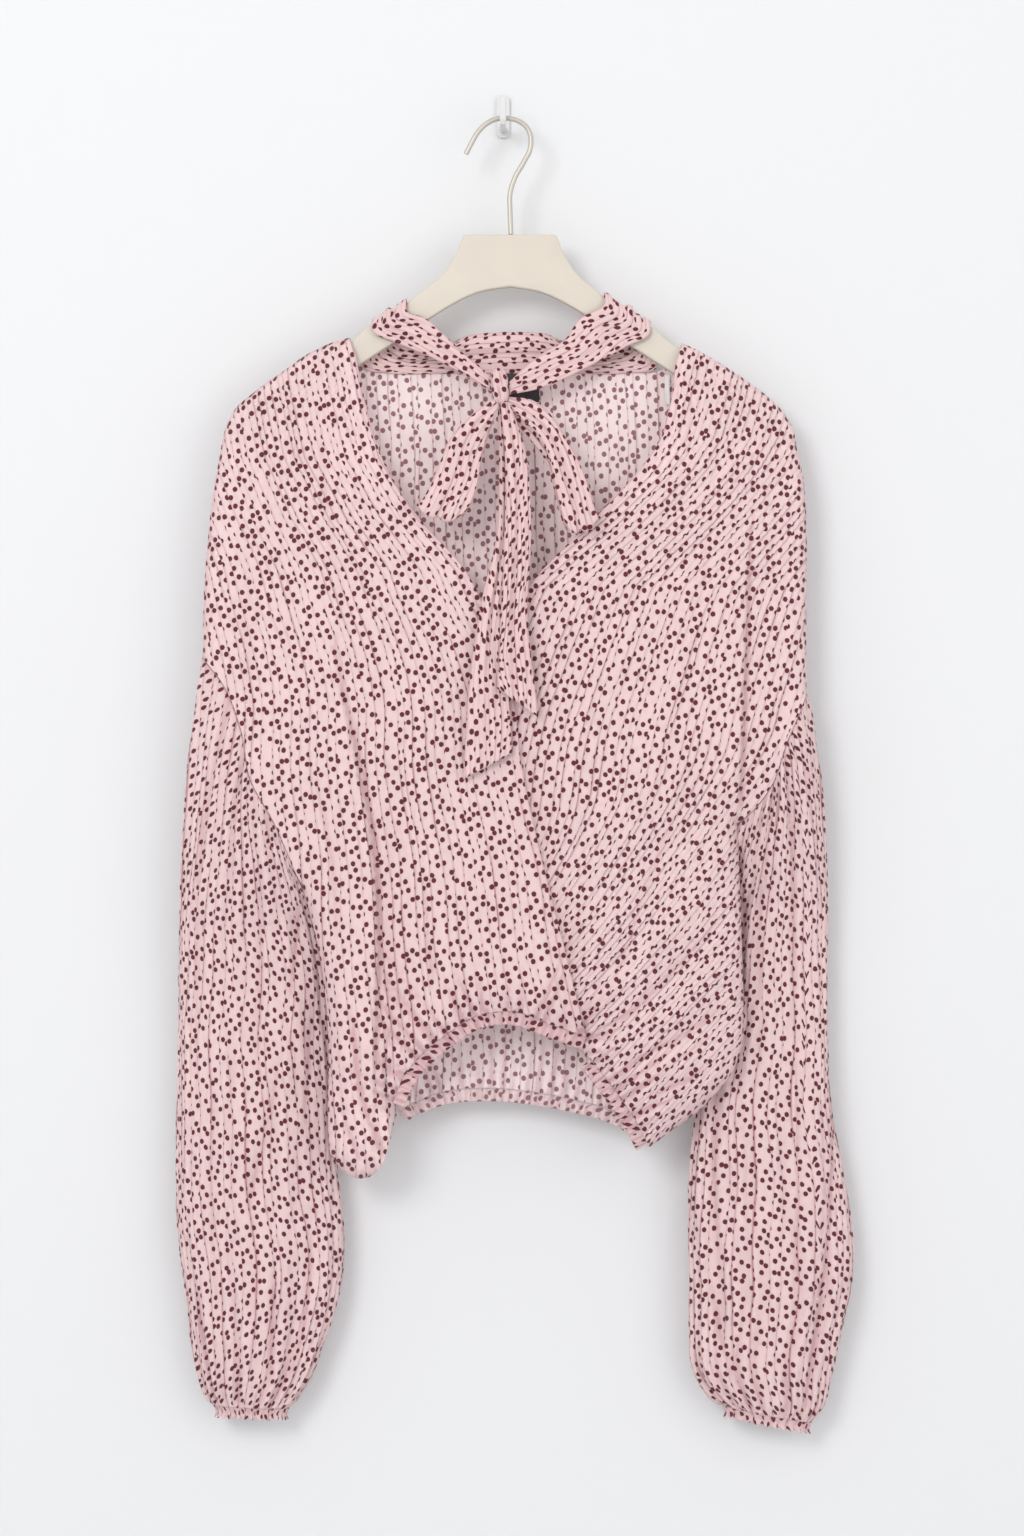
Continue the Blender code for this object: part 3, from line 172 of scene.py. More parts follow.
BACK_FOLDS = [
    (-0.130, -0.300, -0.105, -0.450, -0.088, -0.690, 0.0040, 0.018, 0.014),
    (-0.040, -0.250, -0.045, -0.450, -0.040, -0.690, 0.0030, 0.014, 0.014),
    (0.050, -0.250, 0.055, -0.450, 0.052, -0.690, 0.0030, 0.014, 0.014),
    (0.150, -0.300, 0.120, -0.450, 0.098, -0.690, 0.0040, 0.014, 0.018),
]
BACK_CREASES = [
    (-0.160, -0.220, -0.155, -0.340, -0.120, -0.480, -0.0014, 0.005, 0.007),
    (-0.085, -0.210, -0.080, -0.400, -0.070, -0.620, 0.0014, 0.006, 0.004),
    (-0.005, -0.210, 0.000, -0.380, 0.006, -0.600, -0.0012, 0.004, 0.006),
    (0.085, -0.210, 0.090, -0.420, 0.078, -0.640, 0.0014, 0.004, 0.006),
    (0.170, -0.230, 0.160, -0.360, 0.125, -0.500, -0.0014, 0.007, 0.005),
]

# Sleeves: height, outer x, inner x, middle y, half depth, how much lower the outer edge is
SLEEVE_RIGHT = [
    (-0.575, -0.2262, -0.1310, -0.0270, 0.0110, 0.0),
    (-0.610, -0.2272, -0.1235, -0.0240, 0.0115, 0.0),
    (-0.660, -0.2276, -0.1200, -0.0215, 0.0140, 0.0),
    (-0.745, -0.2289, -0.1165, -0.0210, 0.0155, 0.0),
    (-0.790, -0.2280, -0.1125, -0.0210, 0.0160, 0.0),
    (-0.836, -0.2220, -0.1160, -0.0210, 0.0160, 0.0),
    (-0.871, -0.2170, -0.1270, -0.0210, 0.0150, 0.0),
    (-0.893, -0.2125, -0.1360, -0.0210, 0.0130, 0.0),
    (-0.905, -0.2080, -0.1440, -0.0210, 0.0110, -0.001),
    (-0.9125, -0.2035, -0.1500, -0.0210, 0.0095, -0.002),
]
SLEEVE_LEFT = [
    (-0.560, 0.2278, 0.1600, -0.0220, 0.0100, 0.0),
    (-0.600, 0.2280, 0.1530, -0.0200, 0.0110, 0.0),
    (-0.650, 0.2282, 0.1430, -0.0195, 0.0125, 0.0),
    (-0.705, 0.2305, 0.1355, -0.0210, 0.0150, 0.0),
    (-0.760, 0.2405, 0.1312, -0.0210, 0.0160, 0.0),
    (-0.825, 0.2450, 0.1314, -0.0210, 0.0160, 0.0),
    (-0.860, 0.2375, 0.1317, -0.0210, 0.0155, 0.002),
    (-0.890, 0.2305, 0.1350, -0.0210, 0.0140, 0.005),
    (-0.908, 0.2250, 0.1450, -0.0210, 0.0120, 0.009),
    (-0.9175, 0.2170, 0.1540, -0.0210, 0.0095, 0.012),
]
SLEEVE_FOLDS_RIGHT = [
    (-0.150, -0.560, -0.152, -0.700, -0.160, -0.860, 0.0030, 0.006, 0.012),
    (-0.185, -0.430, -0.195, -0.640, -0.190, -0.860, 0.0025, 0.014, 0.010),
]
SLEEVE_FOLDS_LEFT = [
    (0.2290, -0.640, 0.2240, -0.790, 0.2080, -0.905, 0.0055, 0.020, 0.0022),
    (0.1550, -0.700, 0.1650, -0.780, 0.1750, -0.900, 0.0022, 0.012, 0.012),
]
# Creases pressed into the sleeves, with one list for both faces of each sleeve
SLEEVE_CREASES_RIGHT = [
    (-0.134, -0.780, -0.138, -0.843, -0.153, -0.907, -0.0030, 0.007, 0.0035),
    (-0.141, -0.549, -0.146, -0.600, -0.151, -0.640, -0.0022, 0.004, 0.0035),
    (-0.155, -0.663, -0.172, -0.745, -0.195, -0.817, -0.0019, 0.004, 0.006),
    (-0.133, -0.631, -0.137, -0.680, -0.141, -0.720, -0.0018, 0.0035, 0.005),
    (-0.159, -0.801, -0.161, -0.850, -0.163, -0.898, -0.0021, 0.0035, 0.005),
    (-0.212, -0.817, -0.213, -0.850, -0.208, -0.890, -0.0019, 0.005, 0.0035),
    (-0.205, -0.450, -0.213, -0.560, -0.214, -0.700, -0.0017, 0.004, 0.006),
    (-0.180, -0.480, -0.186, -0.560, -0.186, -0.660, 0.0018, 0.004, 0.006),
    (-0.168, -0.520, -0.170, -0.600, -0.172, -0.700, -0.0017, 0.005, 0.0035),
    (-0.176, -0.700, -0.181, -0.780, -0.178, -0.890, 0.0020, 0.006, 0.004),
    (-0.200, -0.660, -0.204, -0.770, -0.196, -0.880, -0.0018, 0.0035, 0.006),
    (-0.146, -0.700, -0.150, -0.790, -0.158, -0.880, 0.0019, 0.004, 0.006),
    (-0.222, -0.640, -0.220, -0.740, -0.214, -0.830, 0.0017, 0.004, 0.005),
]
SLEEVE_CREASES_LEFT = [
    (0.2240, -0.700, 0.2235, -0.800, 0.2140, -0.907, -0.0030, 0.0035, 0.006),
    (0.1660, -0.500, 0.1680, -0.580, 0.1690, -0.660, -0.0021, 0.004, 0.0035),
    (0.1820, -0.470, 0.1850, -0.560, 0.1850, -0.680, 0.0018, 0.004, 0.006),
    (0.1980, -0.450, 0.2030, -0.540, 0.2050, -0.640, -0.0017, 0.0035, 0.005),
    (0.2130, -0.440, 0.2180, -0.540, 0.2190, -0.620, 0.0016, 0.004, 0.004),
    (0.1500, -0.640, 0.1480, -0.740, 0.1530, -0.840, -0.0020, 0.005, 0.0035),
    (0.1680, -0.680, 0.1700, -0.790, 0.1750, -0.890, -0.0019, 0.004, 0.006),
    (0.1860, -0.640, 0.1900, -0.760, 0.1880, -0.890, 0.0020, 0.005, 0.004),
    (0.2040, -0.640, 0.2060, -0.760, 0.2010, -0.890, -0.0020, 0.0035, 0.006),
    (0.1420, -0.800, 0.1500, -0.850, 0.1620, -0.900, -0.0020, 0.0035, 0.005),
    (0.2380, -0.760, 0.2360, -0.820, 0.2280, -0.880, 0.0018, 0.004, 0.004),
    (0.1740, -0.560, 0.1700, -0.640, 0.1640, -0.700, 0.0018, 0.004, 0.006),
]

# Tie strips: stations from edge a to edge b, as ax, az, bx, bz and, off the back neck, y
COLLAR_BACK = [
    (-0.0985, -0.1820, -0.0560, -0.1535),
    (-0.0830, -0.1866, -0.0420, -0.1640),
    (-0.0400, -0.1869, -0.0240, -0.1600),
    (0.0050, -0.1869, 0.0050, -0.1577),
    (0.0420, -0.1869, 0.0290, -0.1588),
    (0.0900, -0.1866, 0.0460, -0.1630),
    (0.1085, -0.1825, 0.0620, -0.1530),
]
STRAP_RIGHT = [
    (-0.0081, -0.2020, -0.0088, -0.1920, -0.0445),
    (-0.0301, -0.1883, -0.0231, -0.1795, -0.0425),
    (-0.0511, -0.1771, -0.0378, -0.1652, -0.0400),
    (-0.0756, -0.1666, -0.0546, -0.1500, -0.0375),
]
STRAP_LEFT = [
    (0.0860, -0.1700, 0.0540, -0.1500, -0.0375),
    (0.0665, -0.1806, 0.0434, -0.1652, -0.0395),
    (0.0434, -0.1925, 0.0259, -0.1764, -0.0420),
    (0.0230, -0.2005, 0.0133, -0.1869, -0.0435),
    (0.0047, -0.2040, 0.0040, -0.1960, -0.0445),
]
CROWN = [(-0.0070, -0.0050), (-0.0056, 0.0012), (0.0, 0.0034), (0.0056, 0.0012), (0.0070, -0.0050)]
CROWN_RIGHT = (0.096, 0.072)
CROWN_LEFT = (0.098, 0.066)
LOOP_RIGHT = [
    (-0.0072, -0.2078, -0.0018, -0.2122, -0.0470),
    (-0.0231, -0.2205, -0.0090, -0.2265, -0.0500),
    (-0.0357, -0.2345, -0.0140, -0.2435, -0.0530),
    (-0.0462, -0.2590, -0.0180, -0.2670, -0.0550),
    (-0.0560, -0.2800, -0.0238, -0.2850, -0.0570),
    (-0.0600, -0.2884, -0.0278, -0.2952, -0.0555),
    (-0.0598, -0.2880, -0.0276, -0.2948, -0.0525),
    (-0.0520, -0.2720, -0.0225, -0.2770, -0.0508),
    (-0.0420, -0.2510, -0.0175, -0.2580, -0.0500),
    (-0.0280, -0.2290, -0.0110, -0.2360, -0.0470),
    (-0.0110, -0.2120, -0.0050, -0.2165, -0.0430),
]
LOOP_LEFT = [
    (0.0036, -0.2120, 0.0044, -0.2062, -0.0470),
    (0.0145, -0.2230, 0.0200, -0.2085, -0.0500),
    (0.0245, -0.2330, 0.0330, -0.2190, -0.0525),
    (0.0315, -0.2470, 0.0450, -0.2380, -0.0545),
    (0.0360, -0.2680, 0.0560, -0.2600, -0.0560),
    (0.0410, -0.2900, 0.0640, -0.2860, -0.0572),
    (0.0440, -0.3030, 0.0665, -0.2975, -0.0555),
    (0.0439, -0.3026, 0.0664, -0.2971, -0.0525),
    (0.0370, -0.2770, 0.0590, -0.2710, -0.0508),
    (0.0310, -0.2540, 0.0460, -0.2450, -0.0500),
    (0.0220, -0.2390, 0.0310, -0.2270, -0.0470),
    (0.0060, -0.2200, 0.0100, -0.2130, -0.0430),
]
TAIL_FRONT = [
    (-0.0015, -0.2100, 0.0045, -0.2100, -0.0500),
    (0.0015, -0.2485, 0.0150, -0.2420, -0.0525),
    (0.0015, -0.2900, 0.0190, -0.2760, -0.0545),
    (0.0000, -0.3320, 0.0190, -0.3180, -0.0575),
    (-0.0020, -0.3700, 0.0168, -0.3540, -0.0595),
    (-0.0040, -0.4090, 0.0245, -0.4290, -0.0620),
]
TAIL_BACK = [
    (-0.0035, -0.2112, 0.0030, -0.2112, -0.0440),
    (-0.0025, -0.2550, 0.0065, -0.2600, -0.0480),
    (-0.0045, -0.3040, 0.0055, -0.3150, -0.0512),
    (-0.0140, -0.3450, 0.0015, -0.3600, -0.0550),
    (-0.0220, -0.3950, 0.0035, -0.4050, -0.0578),
    (-0.0275, -0.4720, 0.0063, -0.4540, -0.0598),
]

# Half of the hanger, as distance from its middle and z
ARM_TOP = [
    (0.0322, -0.0910), (0.0399, -0.1085), (0.0473, -0.1190), (0.0590, -0.1290), (0.0665, -0.1350),
    (0.0770, -0.1428), (0.1020, -0.1577), (0.1120, -0.1668), (0.1250, -0.1728), (0.1400, -0.1810),
    (0.1560, -0.1906), (0.1740, -0.2040), (0.1860, -0.2168), (0.1912, -0.2280),
]
ARM_TIP = [(0.1912, -0.2280), (0.1912, -0.2345), (0.1868, -0.2382)]
ARM_BOTTOM = [
    (0.1868, -0.2382), (0.1740, -0.2280), (0.1560, -0.2152), (0.1400, -0.2040), (0.1071, -0.1834),
    (0.0812, -0.1666), (0.0581, -0.1512), (0.0430, -0.1415), (0.0220, -0.1315), (0.0, -0.1275),
]
HOOK = [
    (0.0056, -0.0904), (0.0050, -0.0750), (0.0050, -0.0620), (0.0084, -0.0508), (0.0144, -0.0402),
    (0.0189, -0.0311), (0.0196, -0.0235), (0.0168, -0.0158), (0.0112, -0.0113), (0.0039, -0.0093),
    (-0.0038, -0.0095), (-0.0113, -0.0129), (-0.0175, -0.0189), (-0.0220, -0.0266), (-0.0259, -0.0342),
]


def curve(rows: Points, knots: Points, at: Points) -> Points:
    """Points of the smooth curve that passes the rows at the knots.

    Args:
        rows: Control points, one a row.
        knots: The curve's parameter at each row, rising.
        at: Parameters of the wanted points.

    Returns:
        One point for each parameter.
    """
    slopes = np.gradient(rows, knots, axis=0)
    cell = np.clip(np.searchsorted(knots, at, side="right") - 1, 0, len(rows) - 2)
    span = (knots[cell + 1] - knots[cell])[:, None]
    t = (at - knots[cell])[:, None] / span
    return (
        (2 * t**3 - 3 * t**2 + 1) * rows[cell]
        + (t**3 - 2 * t**2 + t) * span * slopes[cell]
        + (3 * t**2 - 2 * t**3) * rows[cell + 1]
        + (t**3 - t**2) * span * slopes[cell + 1]
    )


def lengths(points: Points) -> Points:
    """Length along a line of points, from 0 at its start."""
    return np.concatenate([[0.0], np.cumsum(np.linalg.norm(np.diff(points, axis=0), axis=1))])


def spline(rows: list | Points, fractions: Points) -> Points:
    """Points of the smooth curve through the rows, at fractions of its length.

    Args:
        rows: Control points, one a row.
        fractions: Fractions of the curve's length.

    Returns:
        One point for each fraction.
    """
    rows = np.asarray(rows, float)
    knots = lengths(rows)
    points = curve(rows, knots, np.linspace(0, knots[-1], 40 * len(rows)))
    along = lengths(points)
    wanted = np.asarray(fractions) * along[-1]
    return np.stack([np.interp(wanted, along, column) for column in points.T], axis=1)


def steps(count: int) -> Points:
    """Even fractions from 0 to 1."""
    return np.linspace(0.0, 1.0, count + 1)


def smooth_step(t: Points) -> Points:
    """Eases from 0 to 1 as t does."""
    t = np.clip(t, 0.0, 1.0)
    return t * t * (3 - 2 * t)


def grid_normals(grid: Points, closed: bool) -> Points:
    """Unit normals of a grid of points.

    Args:
        grid: Rows by columns by 3.
        closed: Whether each row is a ring.

    Returns:
        Unit vectors of the grid's shape.
    """
    if closed:
        across = np.roll(grid, -1, axis=1) - np.roll(grid, 1, axis=1)
    else:
        across = np.gradient(grid, axis=1)
    normals = np.cross(across, np.gradient(grid, axis=0))
    return normals / (np.linalg.norm(normals, axis=-1, keepdims=True) + 1e-12)


def soft_noise(at: Points, length: float, seed: int) -> Points:
    """A smooth wandering value from about -1 to 1 along one direction.

    Args:
        at: Positions in metres.
        length: The longest wave.
        seed: Picks one pattern.

    Returns:
        One value for each position.
    """
    rng = np.random.default_rng(seed)
    total = np.zeros(np.shape(at))
    for octave in range(1, 4):
        wave = length / (octave + rng.uniform(-0.2, 0.3))
        total += np.sin(2 * np.pi * at / wave + rng.uniform(0, 2 * np.pi)) / octave
    return total / 1.6


@dataclass(frozen=True)
class Crinkle:
    """Fine tucks that run along the cloth at uneven spacing and fade in and out."""

    seed: int
    pitch: float = 0.0064
    height: float = 0.00075
    width: float = 0.0011
    puff: float = 0.00045
    wander: float = 0.0035

    def read(self, across: Points, along: Points) -> tuple[Points, Points]:
        """Relief of the tucks at each point.

        Args:
            across: Position across the tucks.
            along: Position along them.

        Returns:
            Height, and a count of tucks passed beside their strength, on the last axis.
        """
        rng = np.random.default_rng(self.seed)
        table = np.linspace(along.min(), along.max(), 300)
        across = across + self.wander * np.interp(along, table, soft_noise(table, 0.31, self.seed))
        first = math.floor(across.min() / self.pitch) - 2
        relief = np.zeros(across.shape)
        tucks = np.zeros((*across.shape, 2))
        last_centre, last_power = None, None
        for line in range(first, math.ceil(across.max() / self.pitch) + 3):
            seed = int(rng.integers(1 << 30))
            sway = (line + rng.uniform(-0.30, 0.30)) * self.pitch + 0.0005 * soft_noise(table, 0.12, seed)
            power = np.clip(0.75 + 0.50 * soft_noise(table, rng.uniform(0.12, 0.30), seed + 1), 0.1, 1.0)
            power *= rng.choice([0.45, 0.75, 1.0])
            centre, power = np.interp(along, table, sway), np.interp(along, table, power)
            lean = rng.choice([-1.0, 1.0])
            t = (across - centre) / self.width
            ridge = 0.9 * np.exp(-((t + 0.9 * lean) ** 2)) - 0.7 * np.exp(-((t - 0.5 * lean) ** 2))
            relief += self.height * power * ridge
            if last_centre is not None:
                share = (across - last_centre) / (centre - last_centre)
                between = (share >= 0) & (share < 1)
                strength = last_power + (power - last_power) * share
                tucks[..., 0] = np.where(between, line - first - 1 + share, tucks[..., 0])
                tucks[..., 1] = np.where(between, strength, tucks[..., 1])
                relief += np.where(between, self.puff * strength * np.sin(np.pi * share), 0.0)
            last_centre, last_power = centre, power
        drift = soft_noise(along + 0.6 * across, 0.052, self.seed + 5)
        drift = drift * soft_noise(across - 0.3 * along, 0.043, self.seed + 6)
        return relief + self.puff * drift, tucks


@dataclass
class Sheet:
    """A sheet of cloth as a grid of points, with its pattern coordinates and its doubled cloth and painted
    fold shade.
    """

    points: Points
    pattern: Points
    tucks: Points
    # Doubled cloth at seams, turned edges and casings, and painted shade in folds and gather valleys
    layers_and_shade: Points
    closed: bool = False
    thickness: float = SHELL
    facing: float = 1.0

    def inner(self) -> Points:
        """The inner side's points."""
        return self.points - self.thickness * self.outward()

    def outward(self) -> Points:
        """Unit normals that point out of the garment."""
        return self.facing * grid_normals(self.points, self.closed)

    def build(self, name: str, outer: bpy.types.Material, inner: bpy.types.Material) -> bpy.types.Object:
        """Makes the sheet's closed shell.

        Args:
            name: The new object's name.
            outer: Finish of the outer side and the rims.
            inner: Finish of the inner side.

        Returns:
            The object, with UV maps "pattern" and "tucks" and a point attribute of doubled cloth and
            painted shade.
        """
        rows, columns = self.points.shape[:2]
        corners = np.concatenate([self.points.reshape(-1, 3), self.inner().reshape(-1, 3)])
        quads, spots = self._side(rows, columns)
        layer = rows * columns
        rim, rim_spots = self._rims(rows, columns)
        faces = np.concatenate([quads, quads[:, ::-1] + layer, rim])
        places = np.concatenate([spots, spots[:, ::-1], rim_spots])
        if self._volume(corners, faces) < 0:
            faces, places = faces[:, ::-1], places[:, ::-1]
        mesh = bpy.data.meshes.new(name)
        mesh.vertices.add(len(corners))
        mesh.vertices.foreach_set("co", corners.ravel())
        mesh.loops.add(faces.size)
        mesh.loops.foreach_set("vertex_index", faces.ravel().astype(np.int32))
        mesh.polygons.add(len(faces))
        mesh.polygons.foreach_set("loop_start", np.arange(0, faces.size, 4, dtype=np.int32))
        side = np.zeros(len(faces), dtype=np.int32)
        side[len(quads):2 * len(quads)] = 1
        mesh.polygons.foreach_set("material_index", side)
        mesh.update(calc_edges=True)
        for label, values in (("pattern", self.pattern), ("tucks", self.tucks)):
            uv = mesh.uv_layers.new(name=label)
            uv.data.foreach_set("uv", values.reshape(-1, 2)[places.ravel()].astype(np.float32).ravel())
        mark = mesh.attributes.new("layers_and_shade", "FLOAT", "POINT")
        mark.data.foreach_set("value", np.tile(self.layers_and_shade.ravel(), 2).astype(np.float32))
        mesh.materials.append(outer)
        mesh.materials.append(inner)
        mesh.polygons.foreach_set("use_smooth", np.ones(len(faces), dtype=bool))
        mesh.validate()
        made = bpy.data.objects.new(name, mesh)
        bpy.context.scene.collection.objects.link(made)
        return made

    def _side(self, rows: int, columns: int) -> tuple[Points, Points]:
        """Corner numbers of one side's faces, and their places in the pattern grid.

        Args:
            rows: Rows of points.
            columns: Points in a row.

        Returns:
            Four corners by face, and four places by face.
        """
        last = columns if self.closed else columns - 1
        i, j = np.meshgrid(np.arange(rows - 1), np.arange(last), indexing="ij")
        i, j = i.ravel(), j.ravel()
        below, right = i + 1, (j + 1) % columns
        quads = [i * columns + j, i * columns + right, below * columns + right, below * columns + j]
        wide = self.pattern.shape[1]
        spots = [i * wide + j, i * wide + j + 1, below * wide + j + 1, below * wide + j]
        return np.stack(quads, axis=1), np.stack(spots, axis=1)

    def _rims(self, rows: int, columns: int) -> tuple[Points, Points]:
        """Corner numbers of the faces that close the edges, and their places in the pattern grid.

        Args:
            rows: Rows of points.
            columns: Points in a row.

        Returns:
            Four corners by face, and four places by face.
        """
        layer, wide = rows * columns, self.pattern.shape[1]
        if self.closed:
            here = np.arange(columns)
            there = (here + 1) % columns
            faces, places = [], []
            for row, turn in ((0, 1), (rows - 1, -1)):
                a, b = row * columns + here, row * columns + there
                quad = np.stack([b, a, a + layer, b + layer], axis=1)[:, ::turn]
                u, v = row * wide + here, row * wide + here + 1
                faces.append(quad)
                places.append(np.stack([v, u, u, v], axis=1)[:, ::turn])
            return np.concatenate(faces), np.concatenate(places)
        rim = [(0, j) for j in range(columns)]
        rim += [(i, columns - 1) for i in range(1, rows)]
        rim += [(rows - 1, j) for j in range(columns - 2, -1, -1)]
        rim += [(i, 0) for i in range(rows - 2, 0, -1)]
        here = np.array([i * columns + j for i, j in rim])
        there = np.roll(here, -1)
        quad = np.stack([there, here, here + layer, there + layer], axis=1)
        return quad, np.stack([there, here, here, there], axis=1)

    @staticmethod
    def _volume(corners: Points, faces: Points) -> float:
        """Signed volume inside the faces."""
        a, b, c, d = (corners[faces[:, k]] for k in range(4))
        return float((a * np.cross(b, c)).sum() + (a * np.cross(c, d)).sum())


class Side(Enum):
    """The wearer's side a piece is on, as the sign of its X."""

    RIGHT = -1
    LEFT = 1


@dataclass
class BodyForm:
    """The garment's front and back as height surfaces over X and Z."""

    round_in: float = 0.010
    round_front: float = 0.008
    round_back: float = 0.007
    swell_front: float = 0.045
    swell_back: float = 0.070
    fold_clear: float = 0.008
    overlap_shift: float = 0.0036
    blouse_height: float = 0.0050
    blouse_reach: float = 0.022
    gather_height: float = 0.0013
    gather_pitch: float = 0.0105
    gather_reach: float = 0.024
    outlines: list[Points] = field(default_factory=list)

    def __post_init__(self) -> None:
        """Draws the outline once."""
        rows = (ARM_OUTLINE_RIGHT, ARM_OUTLINE_LEFT, SIDE_RIGHT + BAG_RIGHT[1:4], SIDE_LEFT)
        self.outlines = [spline(row, steps(300)) for row in rows]
        self.hem_front = spline(HEM_FRONT_RIGHT[5:] + HEM_FRONT_LEFT[4::-1], steps(200))
        self.hem_back = spline(HEM_BACK[5:], steps(200))
        self.wrap = spline(NECK_EDGE_RIGHT, steps(120))

    def outline_distance(self, x: Points, z: Points) -> Points:
        """Distance of each point from the garment's outline.

        Args:
            x: X of each point.
            z: Z of each point.

        Returns:
            Metres to the nearest of the outlines.
        """
        nearest = np.full(np.shape(x), 1.0)
        for line in self.outlines:
            for start in range(0, len(line) - 1, 60):
                part = line[start:start + 61]
                away = np.hypot(x[..., None] - part[:, 0], z[..., None] - part[:, 1])
                nearest = np.minimum(nearest, away.min(axis=-1))
        return nearest

    @staticmethod
    def depth(z: Points, column: int) -> Points:
        """A column of the depth table at each height."""
        return np.interp(-z, -DEPTHS[:, 0], DEPTHS[:, column])

    @staticmethod
    def folds(x: Points, z: Points, rows: list) -> Points:
        """How far the listed folds stand out of the cloth at each point.

        Args:
            x: X of each point.
            z: Z of each point.
            rows: Three places on each fold, its height and its reach to either side.

        Returns:
            Metres, less than 0 where a crease lies deeper.
        """
        total = np.zeros(np.shape(x))
        for x0, z0, x1, z1, x2, z2, height, left, right in rows:
            line = spline([(x0, z0), (x1, z1), (x2, z2)], steps(40))
            away = np.hypot(x[..., None] - line[:, 0], z[..., None] - line[:, 1])
            at, near = away.argmin(axis=-1), away.min(axis=-1)
            side = (x - line[at, 0]) / (near + 1e-6)
            reach = left + (right - left) * smooth_step((side + 1) / 2)
            fade = np.sin(np.pi * np.clip(at / 40, 0.04, 0.96)) ** 0.6
            total += height * np.exp(-((near / reach) ** 2)) * fade
        return total

    def gathers(self, x: Points, z: Points, line: Points, seed: int) -> Points:
        """Small gathers that stand on a hem line and fade above it.

        Args:
            x: X of each point.
            z: Z of each point.
            line: The hem line's x and z.
            seed: Picks the unevenness.

        Returns:
            Metres, up or down.
        """
        away = np.hypot(x[..., None] - line[:, 0], z[..., None] - line[:, 1])
        along = lengths(line)[away.argmin(axis=-1)]
        phase = 2 * np.pi * along / self.gather_pitch + 2.4 * soft_noise(along, 0.05, seed)
        reach = self.gather_reach * (1 + 0.4 * soft_noise(along, 0.03, seed + 1))
        return self.gather_height * np.cos(phase) * np.exp(-away.min(axis=-1) / reach)

    def front(self, x: Points, z: Points) -> Points:
        """Y of the front cloth's outer side.

        Args:
            x: X of each point.
            z: Z of each point.

        Returns:
            Y of each point.
        """
        far = self.outline_distance(x, z)
        side, middle = self.depth(z, 1), self.depth(z, 2)
        swell = (side - middle - self.round_front) * (1 - np.exp(-far / self.swell_front))
        hem_x, hem_z = self.hem_front.T
        hem = np.hypot(x[..., None] - hem_x, z[..., None] - hem_z).min(axis=-1)
        hem = hem / self.blouse_reach
        above = (z > np.interp(x, hem_x, hem_z)) | (x < hem_x[0])
        blouse = self.blouse_height * hem * np.exp(1 - hem) * above
        relief = self.folds(x, z, FRONT_FOLDS + FRONT_CREASES) + blouse
        relief = relief + self.gathers(x, z, self.hem_front, 5)
        relief *= 1 - np.exp(-((far / self.fold_clear) ** 2))
        rounded = np.sqrt(1 - (1 - np.clip(far / self.round_in, 0, 1)) ** 2)
        return side - GAP / 2 - self.round_front * rounded - swell - relief

    def front_left(self, x: Points, z: Points) -> Points:
        """Y of the left front, which lies behind the right front where that crosses it."""
        edge = np.interp(-z, -self.wrap[:, 1], self.wrap[:, 0])
        return self.front(x, z) + self.overlap_shift * (1 - smooth_step((x - edge - 0.004) / 0.030))

    def back(self, x: Points, z: Points) -> Points:
        """Y of the back cloth's outer side.

        Args:
            x: X of each point.
            z: Z of each point.

        Returns:
            Y of each point.
        """
        far = self.outline_distance(x, z)
        side, middle = self.depth(z, 1), self.depth(z, 3)
        swell = (middle - side - self.round_back) * (1 - np.exp(-far / self.swell_back))
        relief = self.folds(x, z, BACK_FOLDS + BACK_CREASES) + self.gathers(x, z, self.hem_back, 9)
        relief *= 1 - np.exp(-((far / self.fold_clear) ** 2))
        rounded = np.sqrt(1 - (1 - np.clip(far / self.round_in, 0, 1)) ** 2)
        return side + GAP / 2 + self.round_back * rounded + swell + relief


